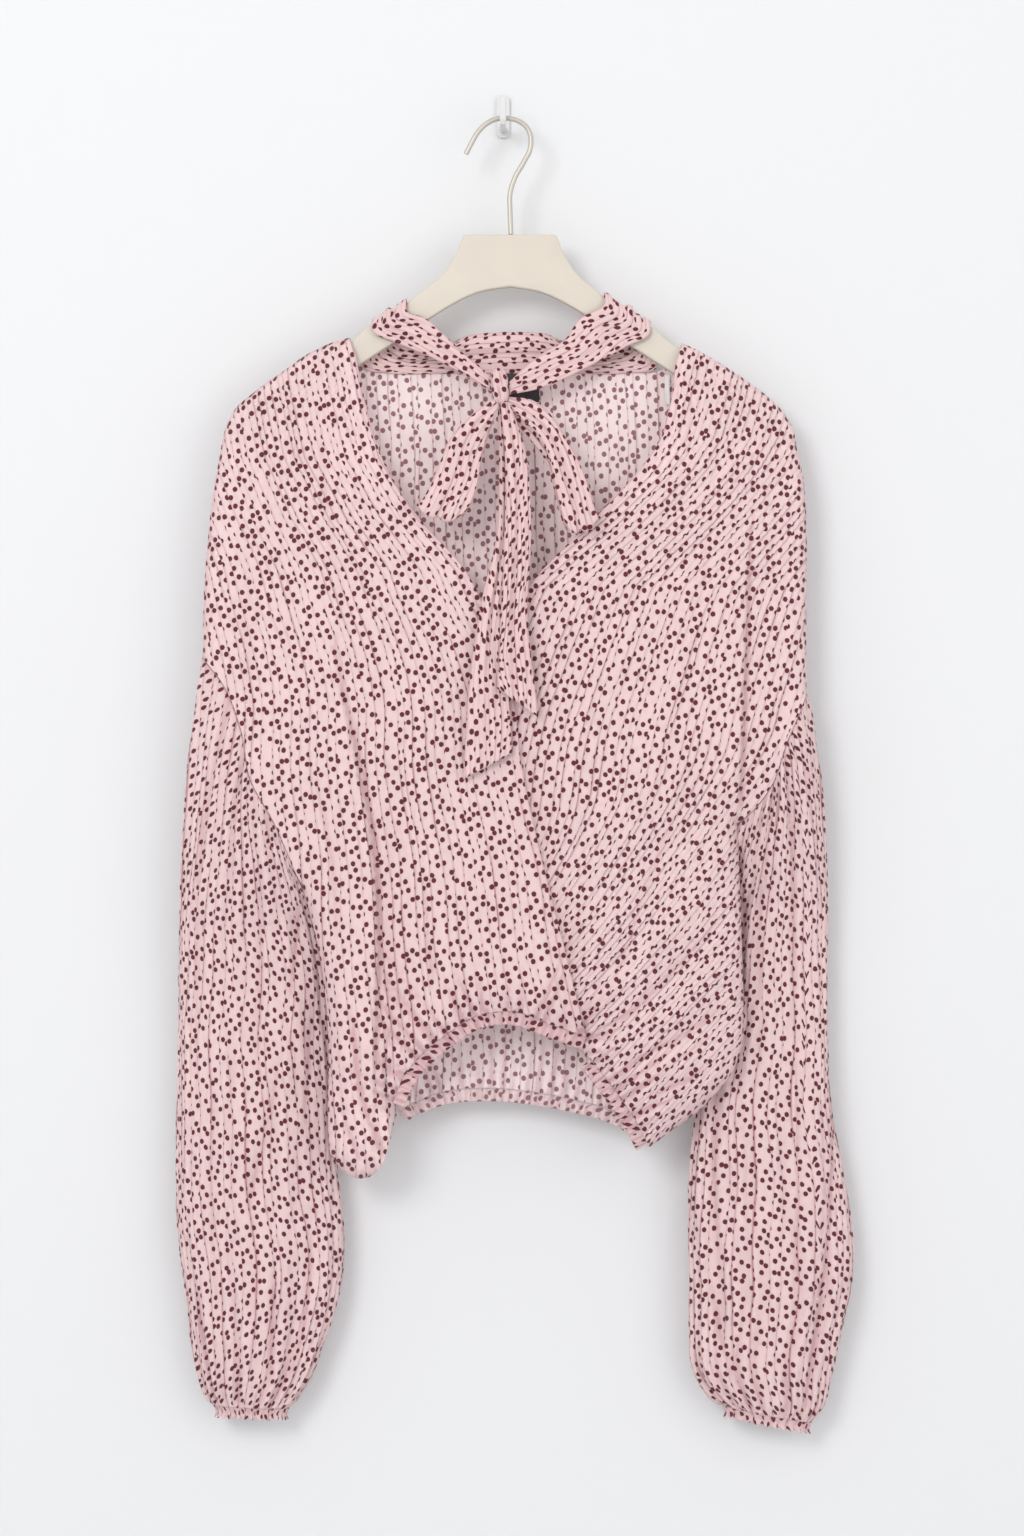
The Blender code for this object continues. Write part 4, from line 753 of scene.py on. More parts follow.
class Graph:
    """Short calls for the shader nodes of one material."""

    def __init__(self, material: bpy.types.Material) -> None:
        """Takes the material's node tree."""
        self.nodes, self.links = material.node_tree.nodes, material.node_tree.links
        self.shader = self.nodes["Principled BSDF"]

    def put(self, socket: bpy.types.NodeSocket, value: object) -> None:
        """Links a socket to the value, or sets it.

        Args:
            socket: An input.
            value: A socket, or a plain value.
        """
        if isinstance(value, bpy.types.NodeSocket):
            self.links.new(value, socket)
        elif isinstance(value, tuple) and socket.type == "RGBA":
            socket.default_value = (*value, 1.0)
        else:
            socket.default_value = value

    def set(self, name: str, value: object) -> None:
        """Gives one of the shader's sockets its value."""
        self.put(self.shader.inputs[name], value)

    def uv(self, name: str) -> bpy.types.NodeSocket:
        """A UV map's coordinates.

        Args:
            name: The map's name.

        Returns:
            The node's output.
        """
        node = self.nodes.new("ShaderNodeUVMap")
        node.uv_map = name
        return node.outputs[0]

    def attribute(self, name: str) -> bpy.types.NodeSocket:
        """A mesh attribute's value.

        Args:
            name: The attribute's name.

        Returns:
            The node's output.
        """
        node = self.nodes.new("ShaderNodeAttribute")
        node.attribute_name = name
        return node.outputs["Fac"]

    def split(self, value: bpy.types.NodeSocket) -> tuple[bpy.types.NodeSocket, bpy.types.NodeSocket]:
        """The first two parts of a vector.

        Args:
            value: The vector.

        Returns:
            Its x and its y.
        """
        node = self.nodes.new("ShaderNodeSeparateXYZ")
        self.put(node.inputs[0], value)
        return node.outputs[0], node.outputs[1]

    def join(self, x: object, y: object) -> bpy.types.NodeSocket:
        """A vector of two parts.

        Args:
            x: A socket, or a plain value.
            y: A socket, or a plain value.

        Returns:
            The node's output.
        """
        node = self.nodes.new("ShaderNodeCombineXYZ")
        self.put(node.inputs[0], x)
        self.put(node.inputs[1], y)
        return node.outputs[0]

    def maths(self, kind: str, *values: object) -> bpy.types.NodeSocket:
        """One sum on numbers.

        Args:
            kind: The node's operation.
            *values: Sockets or plain numbers.

        Returns:
            The node's output.
        """
        node = self.nodes.new("ShaderNodeMath")
        node.operation = kind
        for socket, value in zip(node.inputs, values):
            self.put(socket, value)
        return node.outputs[0]

    def vector(self, kind: str, *values: object) -> bpy.types.NodeSocket:
        """One sum on vectors.

        Args:
            kind: The node's operation.
            *values: Sockets or plain vectors.

        Returns:
            The node's output.
        """
        node = self.nodes.new("ShaderNodeVectorMath")
        node.operation = kind
        for socket, value in zip(node.inputs, values):
            self.put(socket, value)
        return node.outputs[0]

    def noise(self, at: object, scale: float, detail: float, output: str = "Color") -> bpy.types.NodeSocket:
        """Noise over the coordinates.

        Args:
            at: Coordinates.
            scale: Waves in a metre.
            detail: Finer octaves.
            output: The output to take.

        Returns:
            The node's output.
        """
        node = self.nodes.new("ShaderNodeTexNoise")
        self.put(node.inputs["Vector"], at)
        node.inputs["Scale"].default_value = scale
        node.inputs["Detail"].default_value = detail
        return node.outputs[output]

    def cells(self, at: object, scale: float, slant: float, scatter: float) -> bpy.types.NodeSocket:
        """Distance to the nearest of points scattered about a slanted lattice.

        Args:
            at: Coordinates.
            scale: Points in a metre.
            slant: The lattice's turn.
            scatter: 0 for the plain lattice, 1 for chance.

        Returns:
            The node's output.
        """
        turned = self.nodes.new("ShaderNodeVectorRotate")
        turned.rotation_type = "Z_AXIS"
        turned.inputs["Angle"].default_value = slant
        self.put(turned.inputs["Vector"], at)
        node = self.nodes.new("ShaderNodeTexVoronoi")
        node.voronoi_dimensions = "2D"
        self.put(node.inputs["Vector"], turned.outputs[0])
        node.inputs["Scale"].default_value = scale
        node.inputs["Randomness"].default_value = scatter
        return node.outputs["Distance"]

    def ramp(self, value: object, low: float, high: float) -> bpy.types.NodeSocket:
        """Eases from 0 to 1 as the value goes from low to high.

        Args:
            value: A socket, or a plain value.
            low: Where it is 0.
            high: Where it is 1.

        Returns:
            The node's output.
        """
        node = self.nodes.new("ShaderNodeMapRange")
        node.interpolation_type = "SMOOTHSTEP"
        self.put(node.inputs["Value"], value)
        node.inputs["From Min"].default_value = low
        node.inputs["From Max"].default_value = high
        return node.outputs[0]

    def mix(self, share: object, first: object, second: object) -> bpy.types.NodeSocket:
        """A colour between two.

        Args:
            share: The second colour's share.
            first: A socket, or a plain value.
            second: A socket, or a plain value.

        Returns:
            The node's output.
        """
        node = self.nodes.new("ShaderNodeMix")
        node.data_type = "RGBA"
        for socket, value in zip((node.inputs[0], node.inputs[6], node.inputs[7]), (share, first, second)):
            self.put(socket, value)
        return node.outputs[2]

    def blend(self, share: object, first: object, second: object) -> bpy.types.NodeSocket:
        """A number between two.

        Args:
            share: The second number's share.
            first: A socket, or a plain value.
            second: A socket, or a plain value.

        Returns:
            The node's output.
        """
        node = self.nodes.new("ShaderNodeMix")
        node.data_type = "FLOAT"
        for socket, value in zip((node.inputs[0], node.inputs[2], node.inputs[3]), (share, first, second)):
            self.put(socket, value)
        return node.outputs[0]

    def bump(self, height: object, strength: float, distance: float) -> None:
        """Bends the shader's normal by a height.

        Args:
            height: The relief.
            strength: Its share.
            distance: Its depth in metres.
        """
        node = self.nodes.new("ShaderNodeBump")
        node.inputs["Strength"].default_value = strength
        node.inputs["Distance"].default_value = distance
        self.put(node.inputs["Height"], height)
        self.put(self.shader.inputs["Normal"], node.outputs[0])


@dataclass(frozen=True)
class ChiffonFinish:
    """Sheer crinkled chiffon with small dark dots, sliced where a tuck folds cloth away."""

    name: str
    ground: tuple[float, float, float] = (0.845, 0.622, 0.622)
    # Colour of doubled cloth, and of painted shade in folds, gather valleys and along the tuck lines
    layers_and_shade_colour: tuple[float, float, float] = (0.440, 0.205, 0.230)
    dot: tuple[float, float, float] = (0.108, 0.018, 0.027)
    cover: float = 0.50
    layers_and_shade_cover: float = 0.30
    dot_cover: float = 0.93
    dot_size: float = 0.258
    dots_per_metre: float = 137.0
    hidden: float = 0.0031
    line: float = 0.105
    narrowed: float = 1.10
    crepe: float = 0.16
    dot_slant: float = 0.46
    dot_scatter: float = 0.60
    dot_edge: tuple[float, float] = (1.09, 0.90)
    wobble: float = 0.0007
    wobble_scale: float = 260.0
    layers_and_shade_depth: float = 0.75
    line_depth: float = 0.95
    uneven: float = 0.16
    uneven_scale: float = 38.0
    ripple_scale: tuple[float, float, float] = (900.0, 90.0, 0.0)
    bump: float = 0.85
    bump_depth: float = 0.0009
    roughness: float = 0.78
    specular: float = 0.20
    sheen: float = 0.15
    sheen_roughness: float = 0.5

    def build(self) -> bpy.types.Material:
        """Makes the material from the piece's pattern and tucks UV maps and its attribute of doubled cloth
        and painted shade.

        Returns:
            The material.
        """
        made = bpy.data.materials.new(self.name)
        made.use_nodes = True
        graph = Graph(made)
        place, passed, strength = graph.uv("pattern"), *graph.split(graph.uv("tucks"))
        cell = graph.maths("FLOOR", passed)
        share = graph.maths("FRACT", passed)
        near = graph.maths("MINIMUM", share, graph.maths("SUBTRACT", 1.0, share))
        line = graph.maths("MULTIPLY", graph.ramp(near, self.line, self.line * 0.25), strength)
        away = graph.maths("MULTIPLY", cell, self.hidden)
        cloth = graph.vector("MULTIPLY_ADD", place, (self.narrowed, 1.0, 0.0), graph.join(away, 0.0))
        wobble = graph.noise(cloth, self.wobble_scale, 1.0)
        spots = graph.vector("MULTIPLY_ADD", wobble, (self.wobble, self.wobble, 0.0), cloth)
        reach = graph.cells(spots, self.dots_per_metre, self.dot_slant, self.dot_scatter)
        dots = graph.ramp(reach, self.dot_size * self.dot_edge[0], self.dot_size * self.dot_edge[1])
        # Doubled cloth at seams, turned edges, casings and tucks deepens the colour and the cover; the same
        # attribute and the tuck lines also carry painted shade in folds, gather valleys and along each tuck
        layers_and_shade = graph.attribute("layers_and_shade")
        folded = graph.maths("MULTIPLY", layers_and_shade, self.layers_and_shade_depth)
        shaded = graph.maths("MAXIMUM", folded, graph.maths("MULTIPLY", line, self.line_depth))
        ground_and_shade = graph.mix(shaded, self.ground, self.layers_and_shade_colour)
        graph.set("Base Color", graph.mix(dots, ground_and_shade, self.dot))
        uneven = graph.noise(cloth, self.uneven_scale, 3.0, "Fac")
        uneven = graph.maths("MULTIPLY_ADD", uneven, self.uneven, self.cover - self.uneven / 2)
        more = graph.maths("MULTIPLY_ADD", shaded, self.layers_and_shade_cover, uneven)
        graph.set("Alpha", graph.blend(dots, more, self.dot_cover))
        step = graph.maths("MULTIPLY", graph.ramp(share, 0.30, 0.0), strength)
        ripple = graph.noise(graph.vector("MULTIPLY", cloth, self.ripple_scale), 1.0, 3.0, "Fac")
        height = graph.maths("MULTIPLY_ADD", ripple, self.crepe, step)
        graph.bump(height, self.bump, self.bump_depth)
        graph.set("Roughness", self.roughness)
        graph.set("Specular IOR Level", self.specular)
        graph.set("Sheen Weight", self.sheen)
        graph.set("Sheen Roughness", self.sheen_roughness)
        return made


@dataclass(frozen=True)
class PlainFinish:
    """A plain finish with a little unevenness in its gloss."""

    name: str
    colour: tuple[float, float, float]
    roughness: float
    metallic: float = 0.0
    grain: float = 60.0
    bump: float = 0.05
    bump_depth: float = 0.0005
    gloss_spread: float = 0.08
    darkest: float = 0.93
    palest: float = 1.05

    def build(self) -> bpy.types.Material:
        """Makes the material on Object coordinates.

        Returns:
            The material.
        """
        made = bpy.data.materials.new(self.name)
        made.use_nodes = True
        nodes, links = made.node_tree.nodes, made.node_tree.links
        shader = nodes["Principled BSDF"]
        where = nodes.new("ShaderNodeTexCoord")
        grain = nodes.new("ShaderNodeTexNoise")
        grain.inputs["Scale"].default_value = self.grain
        grain.inputs["Detail"].default_value = 5.0
        links.new(where.outputs["Object"], grain.inputs["Vector"])
        shade = nodes.new("ShaderNodeMix")
        shade.data_type = "RGBA"
        shade.inputs[6].default_value = (*(c * self.darkest for c in self.colour), 1.0)
        shade.inputs[7].default_value = (*(min(1.0, c * self.palest) for c in self.colour), 1.0)
        links.new(grain.outputs["Fac"], shade.inputs[0])
        links.new(shade.outputs[2], shader.inputs["Base Color"])
        gloss = nodes.new("ShaderNodeMapRange")
        gloss.inputs["To Min"].default_value = max(0.0, self.roughness - self.gloss_spread)
        gloss.inputs["To Max"].default_value = min(1.0, self.roughness + self.gloss_spread)
        links.new(grain.outputs["Fac"], gloss.inputs["Value"])
        links.new(gloss.outputs[0], shader.inputs["Roughness"])
        bump = nodes.new("ShaderNodeBump")
        bump.inputs["Strength"].default_value = self.bump
        bump.inputs["Distance"].default_value = self.bump_depth
        links.new(grain.outputs["Fac"], bump.inputs["Height"])
        links.new(bump.outputs[0], shader.inputs["Normal"])
        shader.inputs["Metallic"].default_value = self.metallic
        return made


def settle(piece: bpy.types.Object, node: str) -> None:
    """Fixes a finished piece to the frame in place of its solid and reports it.

    Args:
        piece: The piece.
        node: The node whose solid it stands for.
    """
    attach(piece, "root")
    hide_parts(node)
    LOG.info("%s: %d faces", piece.name, len(piece.data.polygons))


def declare(
    sheet: Sheet, flat: tuple[float, float] | None = None
) -> None:
    """Works out a sheet's flat width and length, and does nothing more with them.

    Args:
        sheet: Its sheet.
        flat: Width and length where the pattern doesn't say.
    """
    across, along = sheet.pattern[..., 0], sheet.pattern[..., 1]
    width, length = flat or (float(np.ptp(across)), float(np.ptp(along)))
    length = max(length, LEAST_LENGTH)


@dataclass
class Panel:
    """A front or back panel, cut from its outer edge to its inner edge."""

    name: str
    arm: list
    armhole: list
    side: list
    inner_edge: Callable[[Points], Points]
    top: list
    hem: list
    height: Height
    crinkle: Crinkle
    lean: Height
    columns: int
    both_round: bool = False
    edge_lift: float = 0.0012
    round_columns: int = 9
    arm_rows: int = 58
    seam_rows: int = 40
    side_rows: int = 62
    last_rows: int = 14
    round_reach: float = 0.010
    top_until: float = 0.28
    hem_from: float = 0.60
    turning: float = 0.0075
    # Painted shade where the cloth bends into a fold: the bend where it starts, the bend over which it
    # grows, and its greatest strength
    bend_from: float = 30.0
    bend_span: float = 260.0
    fold_shade_most: float = 0.65

    def outer_edge(self) -> tuple[Points, Points]:
        """Points down the outer edge, and each one's fraction of its length.

        Returns:
            X and z of each point, and the fractions.
        """
        side = np.linspace(0, 0.9, self.side_rows)
        side = np.concatenate([side, 1 - 0.1 * (1 - steps(self.last_rows)[1:]) ** 1.5])
        points = np.concatenate([
            spline(self.arm, steps(self.arm_rows)),
            spline(self.armhole, steps(self.seam_rows))[1:],
            spline(self.side, side)[1:],
        ])
        along = lengths(points)
        return points, along / along[-1]

    def flat_grid(self) -> tuple[Points, Points]:
        """X and Z of the panel's grid, with rows bent to its top and hem.

        Returns:
            X by row and column, and z likewise.
        """
        outer, rows = self.outer_edge()
        inner = self.inner_edge(rows)
        reach = self.round_reach * (1 - np.cos(np.linspace(0, math.pi / 2, self.round_columns + 1)))
        least = 3 * self.round_reach if self.both_round else 1.2 * self.round_reach
        grid = np.zeros((len(rows), self.columns + 1, 2))
        shares = []
        for start, end in zip(outer, inner):
            edge = reach / max(np.linalg.norm(end - start), least)
            if self.both_round:
                flat = np.linspace(edge[-1], 1 - edge[-1], self.columns + 1 - 2 * self.round_columns)
                shares.append(np.concatenate([edge[:-1], flat, (1 - edge[:-1])[::-1]]))
            else:
                flat = np.linspace(edge[-1], 1, self.columns + 1 - self.round_columns)
                shares.append(np.concatenate([edge[:-1], flat]))
        top_bend = 1 - smooth_step(rows / self.top_until)
        hem_bend = smooth_step((rows - self.hem_from) / (1 - self.hem_from)) ** 1.3
        for i, share in enumerate(shares):
            f = share[:, None]
            top = spline(self.top, share) - (outer[0] * (1 - f) + inner[0] * f)
            hem = spline(self.hem, share) - (outer[-1] * (1 - f) + inner[-1] * f)
            grid[i] = outer[i] * (1 - f) + inner[i] * f + top_bend[i] * top + hem_bend[i] * hem
        return grid[..., 0], grid[..., 1]

    def sheet(self, form: BodyForm) -> Sheet:
        """The panel's cloth on the garment's form, with its tucks.

        Args:
            form: The garment's form.

        Returns:
            The sheet.
        """
        x, z = self.flat_grid()
        facing = 1.0 if self.both_round else -1.0
        relief, tucks = self.crinkle.read(self.lean(x, z), -z)
        away = form.outline_distance(x, z)
        clear = smooth_step(away / 0.006)
        y = self.height(x, z)
        turn = math.copysign(1.0, x[0, -1] - x[0, 0])
        more = np.hypot(np.diff(x), np.diff(y)) - np.abs(np.diff(x))
        near = more[:, :self.round_columns]
        across = x.copy()
        across[:, :self.round_columns] -= turn * np.cumsum(near[:, ::-1], axis=1)[:, ::-1]
        if self.both_round:
            across[:, -self.round_columns:] += turn * np.cumsum(more[:, -self.round_columns:], axis=1)
        pattern = np.stack([across, -z], axis=-1)
        slope = np.gradient(y, axis=1) / np.gradient(x, axis=1)
        bend = facing * np.gradient(slope, axis=1) / np.gradient(x, axis=1)
        inland = smooth_step((away - 0.010) / 0.006)
        # Painted shade where the cloth bends into a fold, kept off the outline
        layers_and_shade = np.clip((bend - self.bend_from) / self.bend_span, 0, self.fold_shade_most) * inland
        if not self.both_round:
            # Doubled cloth along the turned wrap edge, with a narrow dark line at the edge that is partly
            # the rolled edge and partly its painted shadow
            inside = np.hypot(x - x[:, -1:], z - z[:, -1:])
            turning = 0.16 * smooth_step((self.turning - inside) / 0.001)
            layers_and_shade += 0.55 * np.exp(-((inside / 0.0010) ** 2)) + turning
            # Doubled seam cloth along the outline, with painted shade at the edge
            layers_and_shade += 0.30 * np.exp(-((away / 0.0022) ** 2))
            relief = relief * smooth_step(inside / 0.004) + self.edge_lift * np.exp(-inside / 0.006)
        y = y + facing * relief * clear
        points = np.stack([x, y, z], axis=-1)
        made = Sheet(points, pattern, tucks, np.clip(layers_and_shade, 0, 1))
        middle = grid_normals(points, False)[len(x) // 2, x.shape[1] // 2, 1]
        made.facing = facing * math.copysign(1.0, middle)
        return made


@dataclass
class Body:
    """The blouse's two wrap fronts and its back."""

    form: BodyForm
    outer: bpy.types.Material
    inner: bpy.types.Material

    def panels(self) -> list[Panel]:
        """The three panels as they are cut.

        Returns:
            Right front, left front and back.
        """
        right_x, right_z = np.array(NECK_EDGE_RIGHT).T
        left_x, left_z = np.array(NECK_EDGE_LEFT).T

        def lean_right(x: Points, z: Points) -> Points:
            """Where each point lies across the right front's tucks."""
            edge = np.interp(-z, -right_z, right_x)
            return x - edge * np.exp(-np.abs(x - edge) / 0.20)

        def lean_left(x: Points, z: Points) -> Points:
            """Where each point lies across the left front's tucks, which fan out at the hem.

            Args:
                x: X of each point.
                z: Z of each point.

            Returns:
                The place across the tucks.
            """
            edge = np.interp(-z, -left_z, left_x)
            slanted = x - edge * np.exp(-np.abs(x - edge) / 0.30) * smooth_step((z + 0.56) / 0.16)
            fan = np.maximum(-z - 0.47 + 0.4 * (x - 0.09), 0.0)
            return slanted - 0.17 * z + 1.3 * fan**2 / (fan + 0.09)

        def left_edge(rows: Points) -> Points:
            """The back's left outline.

            Args:
                rows: Fractions of the outline's length.

            Returns:
                X and z of each point.
            """
            outline = np.concatenate([
                spline(ARM_OUTLINE_LEFT, steps(8)),
                spline(ARMHOLE_LEFT, steps(6))[1:],
                spline(SIDE_LEFT, steps(8))[1:],
            ])
            along = lengths(outline) / lengths(outline)[-1]
            return np.stack([np.interp(rows, along, column) for column in outline.T], axis=1)

        return [
            Panel("front_right", ARM_OUTLINE_RIGHT, ARMHOLE_RIGHT, SIDE_RIGHT,
                  lambda rows: spline(NECK_EDGE_RIGHT[1:], rows), NECK_EDGE_RIGHT[:2], HEM_FRONT_RIGHT,
                  self.form.front, Crinkle(11), lean_right, 190),
            Panel("front_left", ARM_OUTLINE_LEFT, ARMHOLE_LEFT, SIDE_LEFT,
                  lambda rows: spline(NECK_EDGE_LEFT[1:], rows), NECK_EDGE_LEFT[:2], HEM_FRONT_LEFT,
                  self.form.front_left, Crinkle(23), lean_left, 190),
            Panel("back", ARM_OUTLINE_RIGHT, ARMHOLE_RIGHT, SIDE_RIGHT,
                  left_edge, NECK_BACK, HEM_BACK,
                  self.form.back, Crinkle(37, pitch=0.0072), lambda x, z: x, 262, both_round=True),
        ]

    def build(self) -> dict[str, Sheet]:
        """Makes the panels.

        Returns:
            Each panel's sheet by its node's name.
        """
        sheets = {}
        for panel in self.panels():
            sheet = panel.sheet(self.form)
            piece = sheet.build(f"{panel.name}_cloth", self.outer, self.inner)
            declare(sheet)
            settle(piece, panel.name)
            sheets[panel.name] = sheet
        return sheets


@dataclass
class Sleeve:
    """A balloon sleeve gathered into its armhole seam and its cuff."""

    side: Side
    table: list
    folds: list
    creases: list
    away: tuple[float, float]
    outer: bpy.types.Material
    inner: bpy.types.Material
    half_ring: int = 84
    head_rows: int = 60
    row_step: float = 0.0030
    gather_height: float = 0.0016
    crinkle: Crinkle = field(default_factory=lambda: Crinkle(51))
    cuff_height: float = 0.0075
    cuff_rows: int = 9
    head_swell: float = 0.003
    head_lift: float = 0.004
    # Painted shade where the sleeve bends into a fold: the bend where it starts, the bend over which it
    # grows, and its greatest strength
    bend_from: float = 40.0
    bend_span: float = 300.0
    fold_shade_most: float = 0.6

    @property
    def label(self) -> str:
        """The side's name."""
        return self.side.name.lower()

    def armhole(self, form: BodyForm) -> Points:
        """The seam ring, down the front half and up the back half.

        Args:
            form: The garment's form.

        Returns:
            One point for each of the ring's columns.
        """
        rows = ARMHOLE_RIGHT if self.side is Side.RIGHT else ARMHOLE_LEFT
        line = spline(rows, steps(self.half_ring))
        front_height = form.front if self.side is Side.RIGHT else form.front_left
        front = np.stack([line[:, 0], front_height(line[:, 0], line[:, 1]), line[:, 1]], axis=1)
        back = np.stack([line[:, 0], form.back(line[:, 0], line[:, 1]), line[:, 1]], axis=1)
        ring = np.concatenate([front, back[-2:0:-1]])
        ring[0] = (front[0] + back[0]) / 2
        ring[self.half_ring] = (front[-1] + back[-1]) / 2
        return ring + GAP * 2 * np.array([self.away[0], 0.0, self.away[1]])

    def rings(self, form: BodyForm) -> Points:
        """The sleeve's plain rings from the seam to the cuff.

        Args:
            form: The garment's form.

        Returns:
            Rings by point by x, y and z.
        """
        angle = np.linspace(0, 2 * math.pi, 2 * self.half_ring, endpoint=False)
        across = (1 - np.cos(angle)) / 2
        flat = np.sign(np.sin(angle)) * np.abs(np.sin(angle)) ** 0.8
        table = np.array(self.table)
        heights = np.arange(table[0, 0], table[-1, 0], -self.row_step)
        heights = np.append(heights, table[-1, 0])
        rows = curve(table, -table[:, 0], -heights)
        sections = np.stack([
            rows[:, 1:2] + (rows[:, 2:3] - rows[:, 1:2]) * across,
            rows[:, 3:4] - rows[:, 4:5] * flat,
            rows[:, 0:1] - rows[:, 5:6] * (0.5 - across),
        ], axis=-1)
        ring = self.armhole(form)
        head = []
        for step in range(self.head_rows):
            t = step / self.head_rows
            mixed = ring * (1 - t) + sections[0] * t
            swell = self.side.value * self.head_swell * math.sin(math.pi * t)
            mixed[:, 0] += swell * (1 + np.cos(angle)) / 2
            mixed[:, 1] -= self.head_lift * math.sin(math.pi * t) * np.clip(np.sin(angle), 0, 1)
            head.append(mixed)
        return np.concatenate([np.array(head), sections])

    def sheet(self, form: BodyForm) -> Sheet:
        """The sleeve's cloth with its gathers, folds and tucks.

        Args:
            form: The garment's form.

        Returns:
            The sheet.
        """
        grid = self.rings(form)
        count = grid.shape[1]
        angle = np.linspace(0, 2 * math.pi, count, endpoint=False)[None, :]
        down = np.linalg.norm(np.diff(grid, axis=0), axis=-1).mean(axis=1)
        down = np.concatenate([[0.0], np.cumsum(down)])[:, None]
        front = np.clip(np.sin(angle) * 3, 0, 1)
        ease = smooth_step(down / 0.010) * smooth_step((down[-1] - down) / 0.006)
        placed = BodyForm.folds(grid[..., 0], grid[..., 2], self.folds) * front * ease
        placed += BodyForm.folds(grid[..., 0], grid[..., 2], self.creases) * ease
        span = np.linalg.norm(np.roll(grid, -1, axis=1) - np.roll(grid, 1, axis=1), axis=-1) / 2
        bend = (np.roll(placed, -1, axis=1) - 2 * placed + np.roll(placed, 1, axis=1)) / span**2
        grid[..., 1] -= placed * np.clip(np.sin(angle) * 2, -1, 1)
        around = np.linalg.norm(np.roll(grid, -1, axis=1) - grid, axis=-1)
        ring = around.sum(axis=1, keepdims=True)
        at = np.concatenate([np.zeros((len(grid), 1)), np.cumsum(around, axis=1)], axis=1)
        relief, tucks, layers_and_shade = self._relief(angle, down, ring)
        normals = grid_normals(grid, True)
        middle = grid.mean(axis=1, keepdims=True)
        facing = math.copysign(1.0, ((grid - middle) * normals).sum())
        points = grid + facing * normals * (relief * ease)[..., None]
        width = 0.7 * at + 0.3 * at / ring * ring.max()
        fall = np.linalg.norm(np.diff(grid, axis=0, prepend=grid[:1]), axis=-1).cumsum(axis=0)
        fall = np.concatenate([fall, fall[:, :1]], axis=1)
        fall -= fall[-1:] - fall[-1].mean()
        pattern = np.stack([width - width.mean(axis=1, keepdims=True), fall], axis=-1)
        # Painted shade where the sleeve bends into a fold
        folded = np.clip((bend - self.bend_from) / self.bend_span, 0, self.fold_shade_most)
        layers_and_shade = np.clip(layers_and_shade + folded * (span > 0.0005), 0, 1)
        return Sheet(points, pattern, tucks, layers_and_shade, closed=True, facing=facing)

    def _relief(self, angle: Points, down: Points, ring: Points) -> tuple[Points, Points, Points]:
        """Height, tucks, and the doubled seam cloth and painted shade in the gather valleys, round the
        sleeve.

        Args:
            angle: Turn of each column.
            down: Length from the seam to each ring.
            ring: Each ring's length round.

        Returns:
            The three, by ring and column.
        """
        seed = 70 + self.side.value
        end = down[-1] - down
        strong = 0.55 + 0.8 * np.exp(-down / 0.050) + 1.2 * np.exp(-end / 0.045)
        turn = angle + 0.10 * soft_noise(down, 0.22, seed)
        waves = 0.55 * np.cos(17 * turn + 1.2 * soft_noise(angle, 2.1, seed + 1))
        waves = waves + 0.45 * np.cos(26 * turn + 1.6 * soft_noise(angle, 1.7, seed + 2) + 1.0)
        spots = np.linspace(0, ring.mean(), angle.shape[1] + 1)[None, :] * np.ones_like(down)
        relief, tucks = self.crinkle.read(spots, np.broadcast_to(down, spots.shape))
        # Painted shade in the gather valleys, and doubled cloth at the armhole seam with painted shade
        # along it
        layers_and_shade = 0.5 * np.clip(-waves * strong, 0, 1) ** 2 + 0.6 * np.exp(-down / 0.0016)
        return relief[:, :-1] + self.gather_height * waves * strong, tucks, layers_and_shade

    def cuff(self, sleeve: Sheet) -> Sheet:
        """The narrow elastic cuff, ruffled by its gathers.

        Args:
            sleeve: The sleeve's own sheet.

        Returns:
            The sheet.
        """
        last = sleeve.points[-1]
        middle = last.mean(axis=0)
        out = (last - middle) * np.array([1.0, 1.0, 0.0])
        out /= np.linalg.norm(out, axis=1, keepdims=True)
        angle = np.linspace(0, 2 * math.pi, len(last), endpoint=False)
        wave = np.cos(27 * angle + 1.4 * soft_noise(angle, 1.9, 80 + self.side.value))[:, None]
        rows, casing_and_shade = [], []
        for v in steps(self.cuff_rows):
            drop = np.array([0.0, 0.0, -1.0]) * (GAP + (self.cuff_height - GAP) * v * (1 + 0.12 * wave))
            pinch = -0.0012 * math.sin(math.pi * v) - 0.0010 * v
            rows.append(last + drop + out * (pinch + 0.0005 * wave * v))
            # Doubled cloth of the casing, with painted shade in the valleys of its gathers
            casing_and_shade.append(0.35 + 0.3 * np.clip(-wave[:, 0], 0, 1))
        grid = np.array(rows)
        base = sleeve.pattern[-1]
        pattern = np.array([base + (0.0, 0.002 + self.cuff_height * v) for v in steps(self.cuff_rows)])
        tucks = np.repeat(sleeve.tucks[-1:], self.cuff_rows + 1, axis=0)
        return Sheet(grid, pattern, tucks, np.array(casing_and_shade), closed=True, facing=sleeve.facing)

    def build(self, form: BodyForm) -> None:
        """Makes the sleeve and its cuff.

        Args:
            form: The garment's form.
        """
        sleeve = self.sheet(form)
        piece = sleeve.build(f"sleeve_{self.label}_cloth", self.outer, self.inner)
        declare(sleeve)
        settle(piece, f"sleeve_{self.label}")
        cuff = self.cuff(sleeve)
        band = cuff.build(f"cuff_{self.label}_cloth", self.outer, self.inner)
        declare(cuff)
        settle(band, f"cuff_{self.label}")


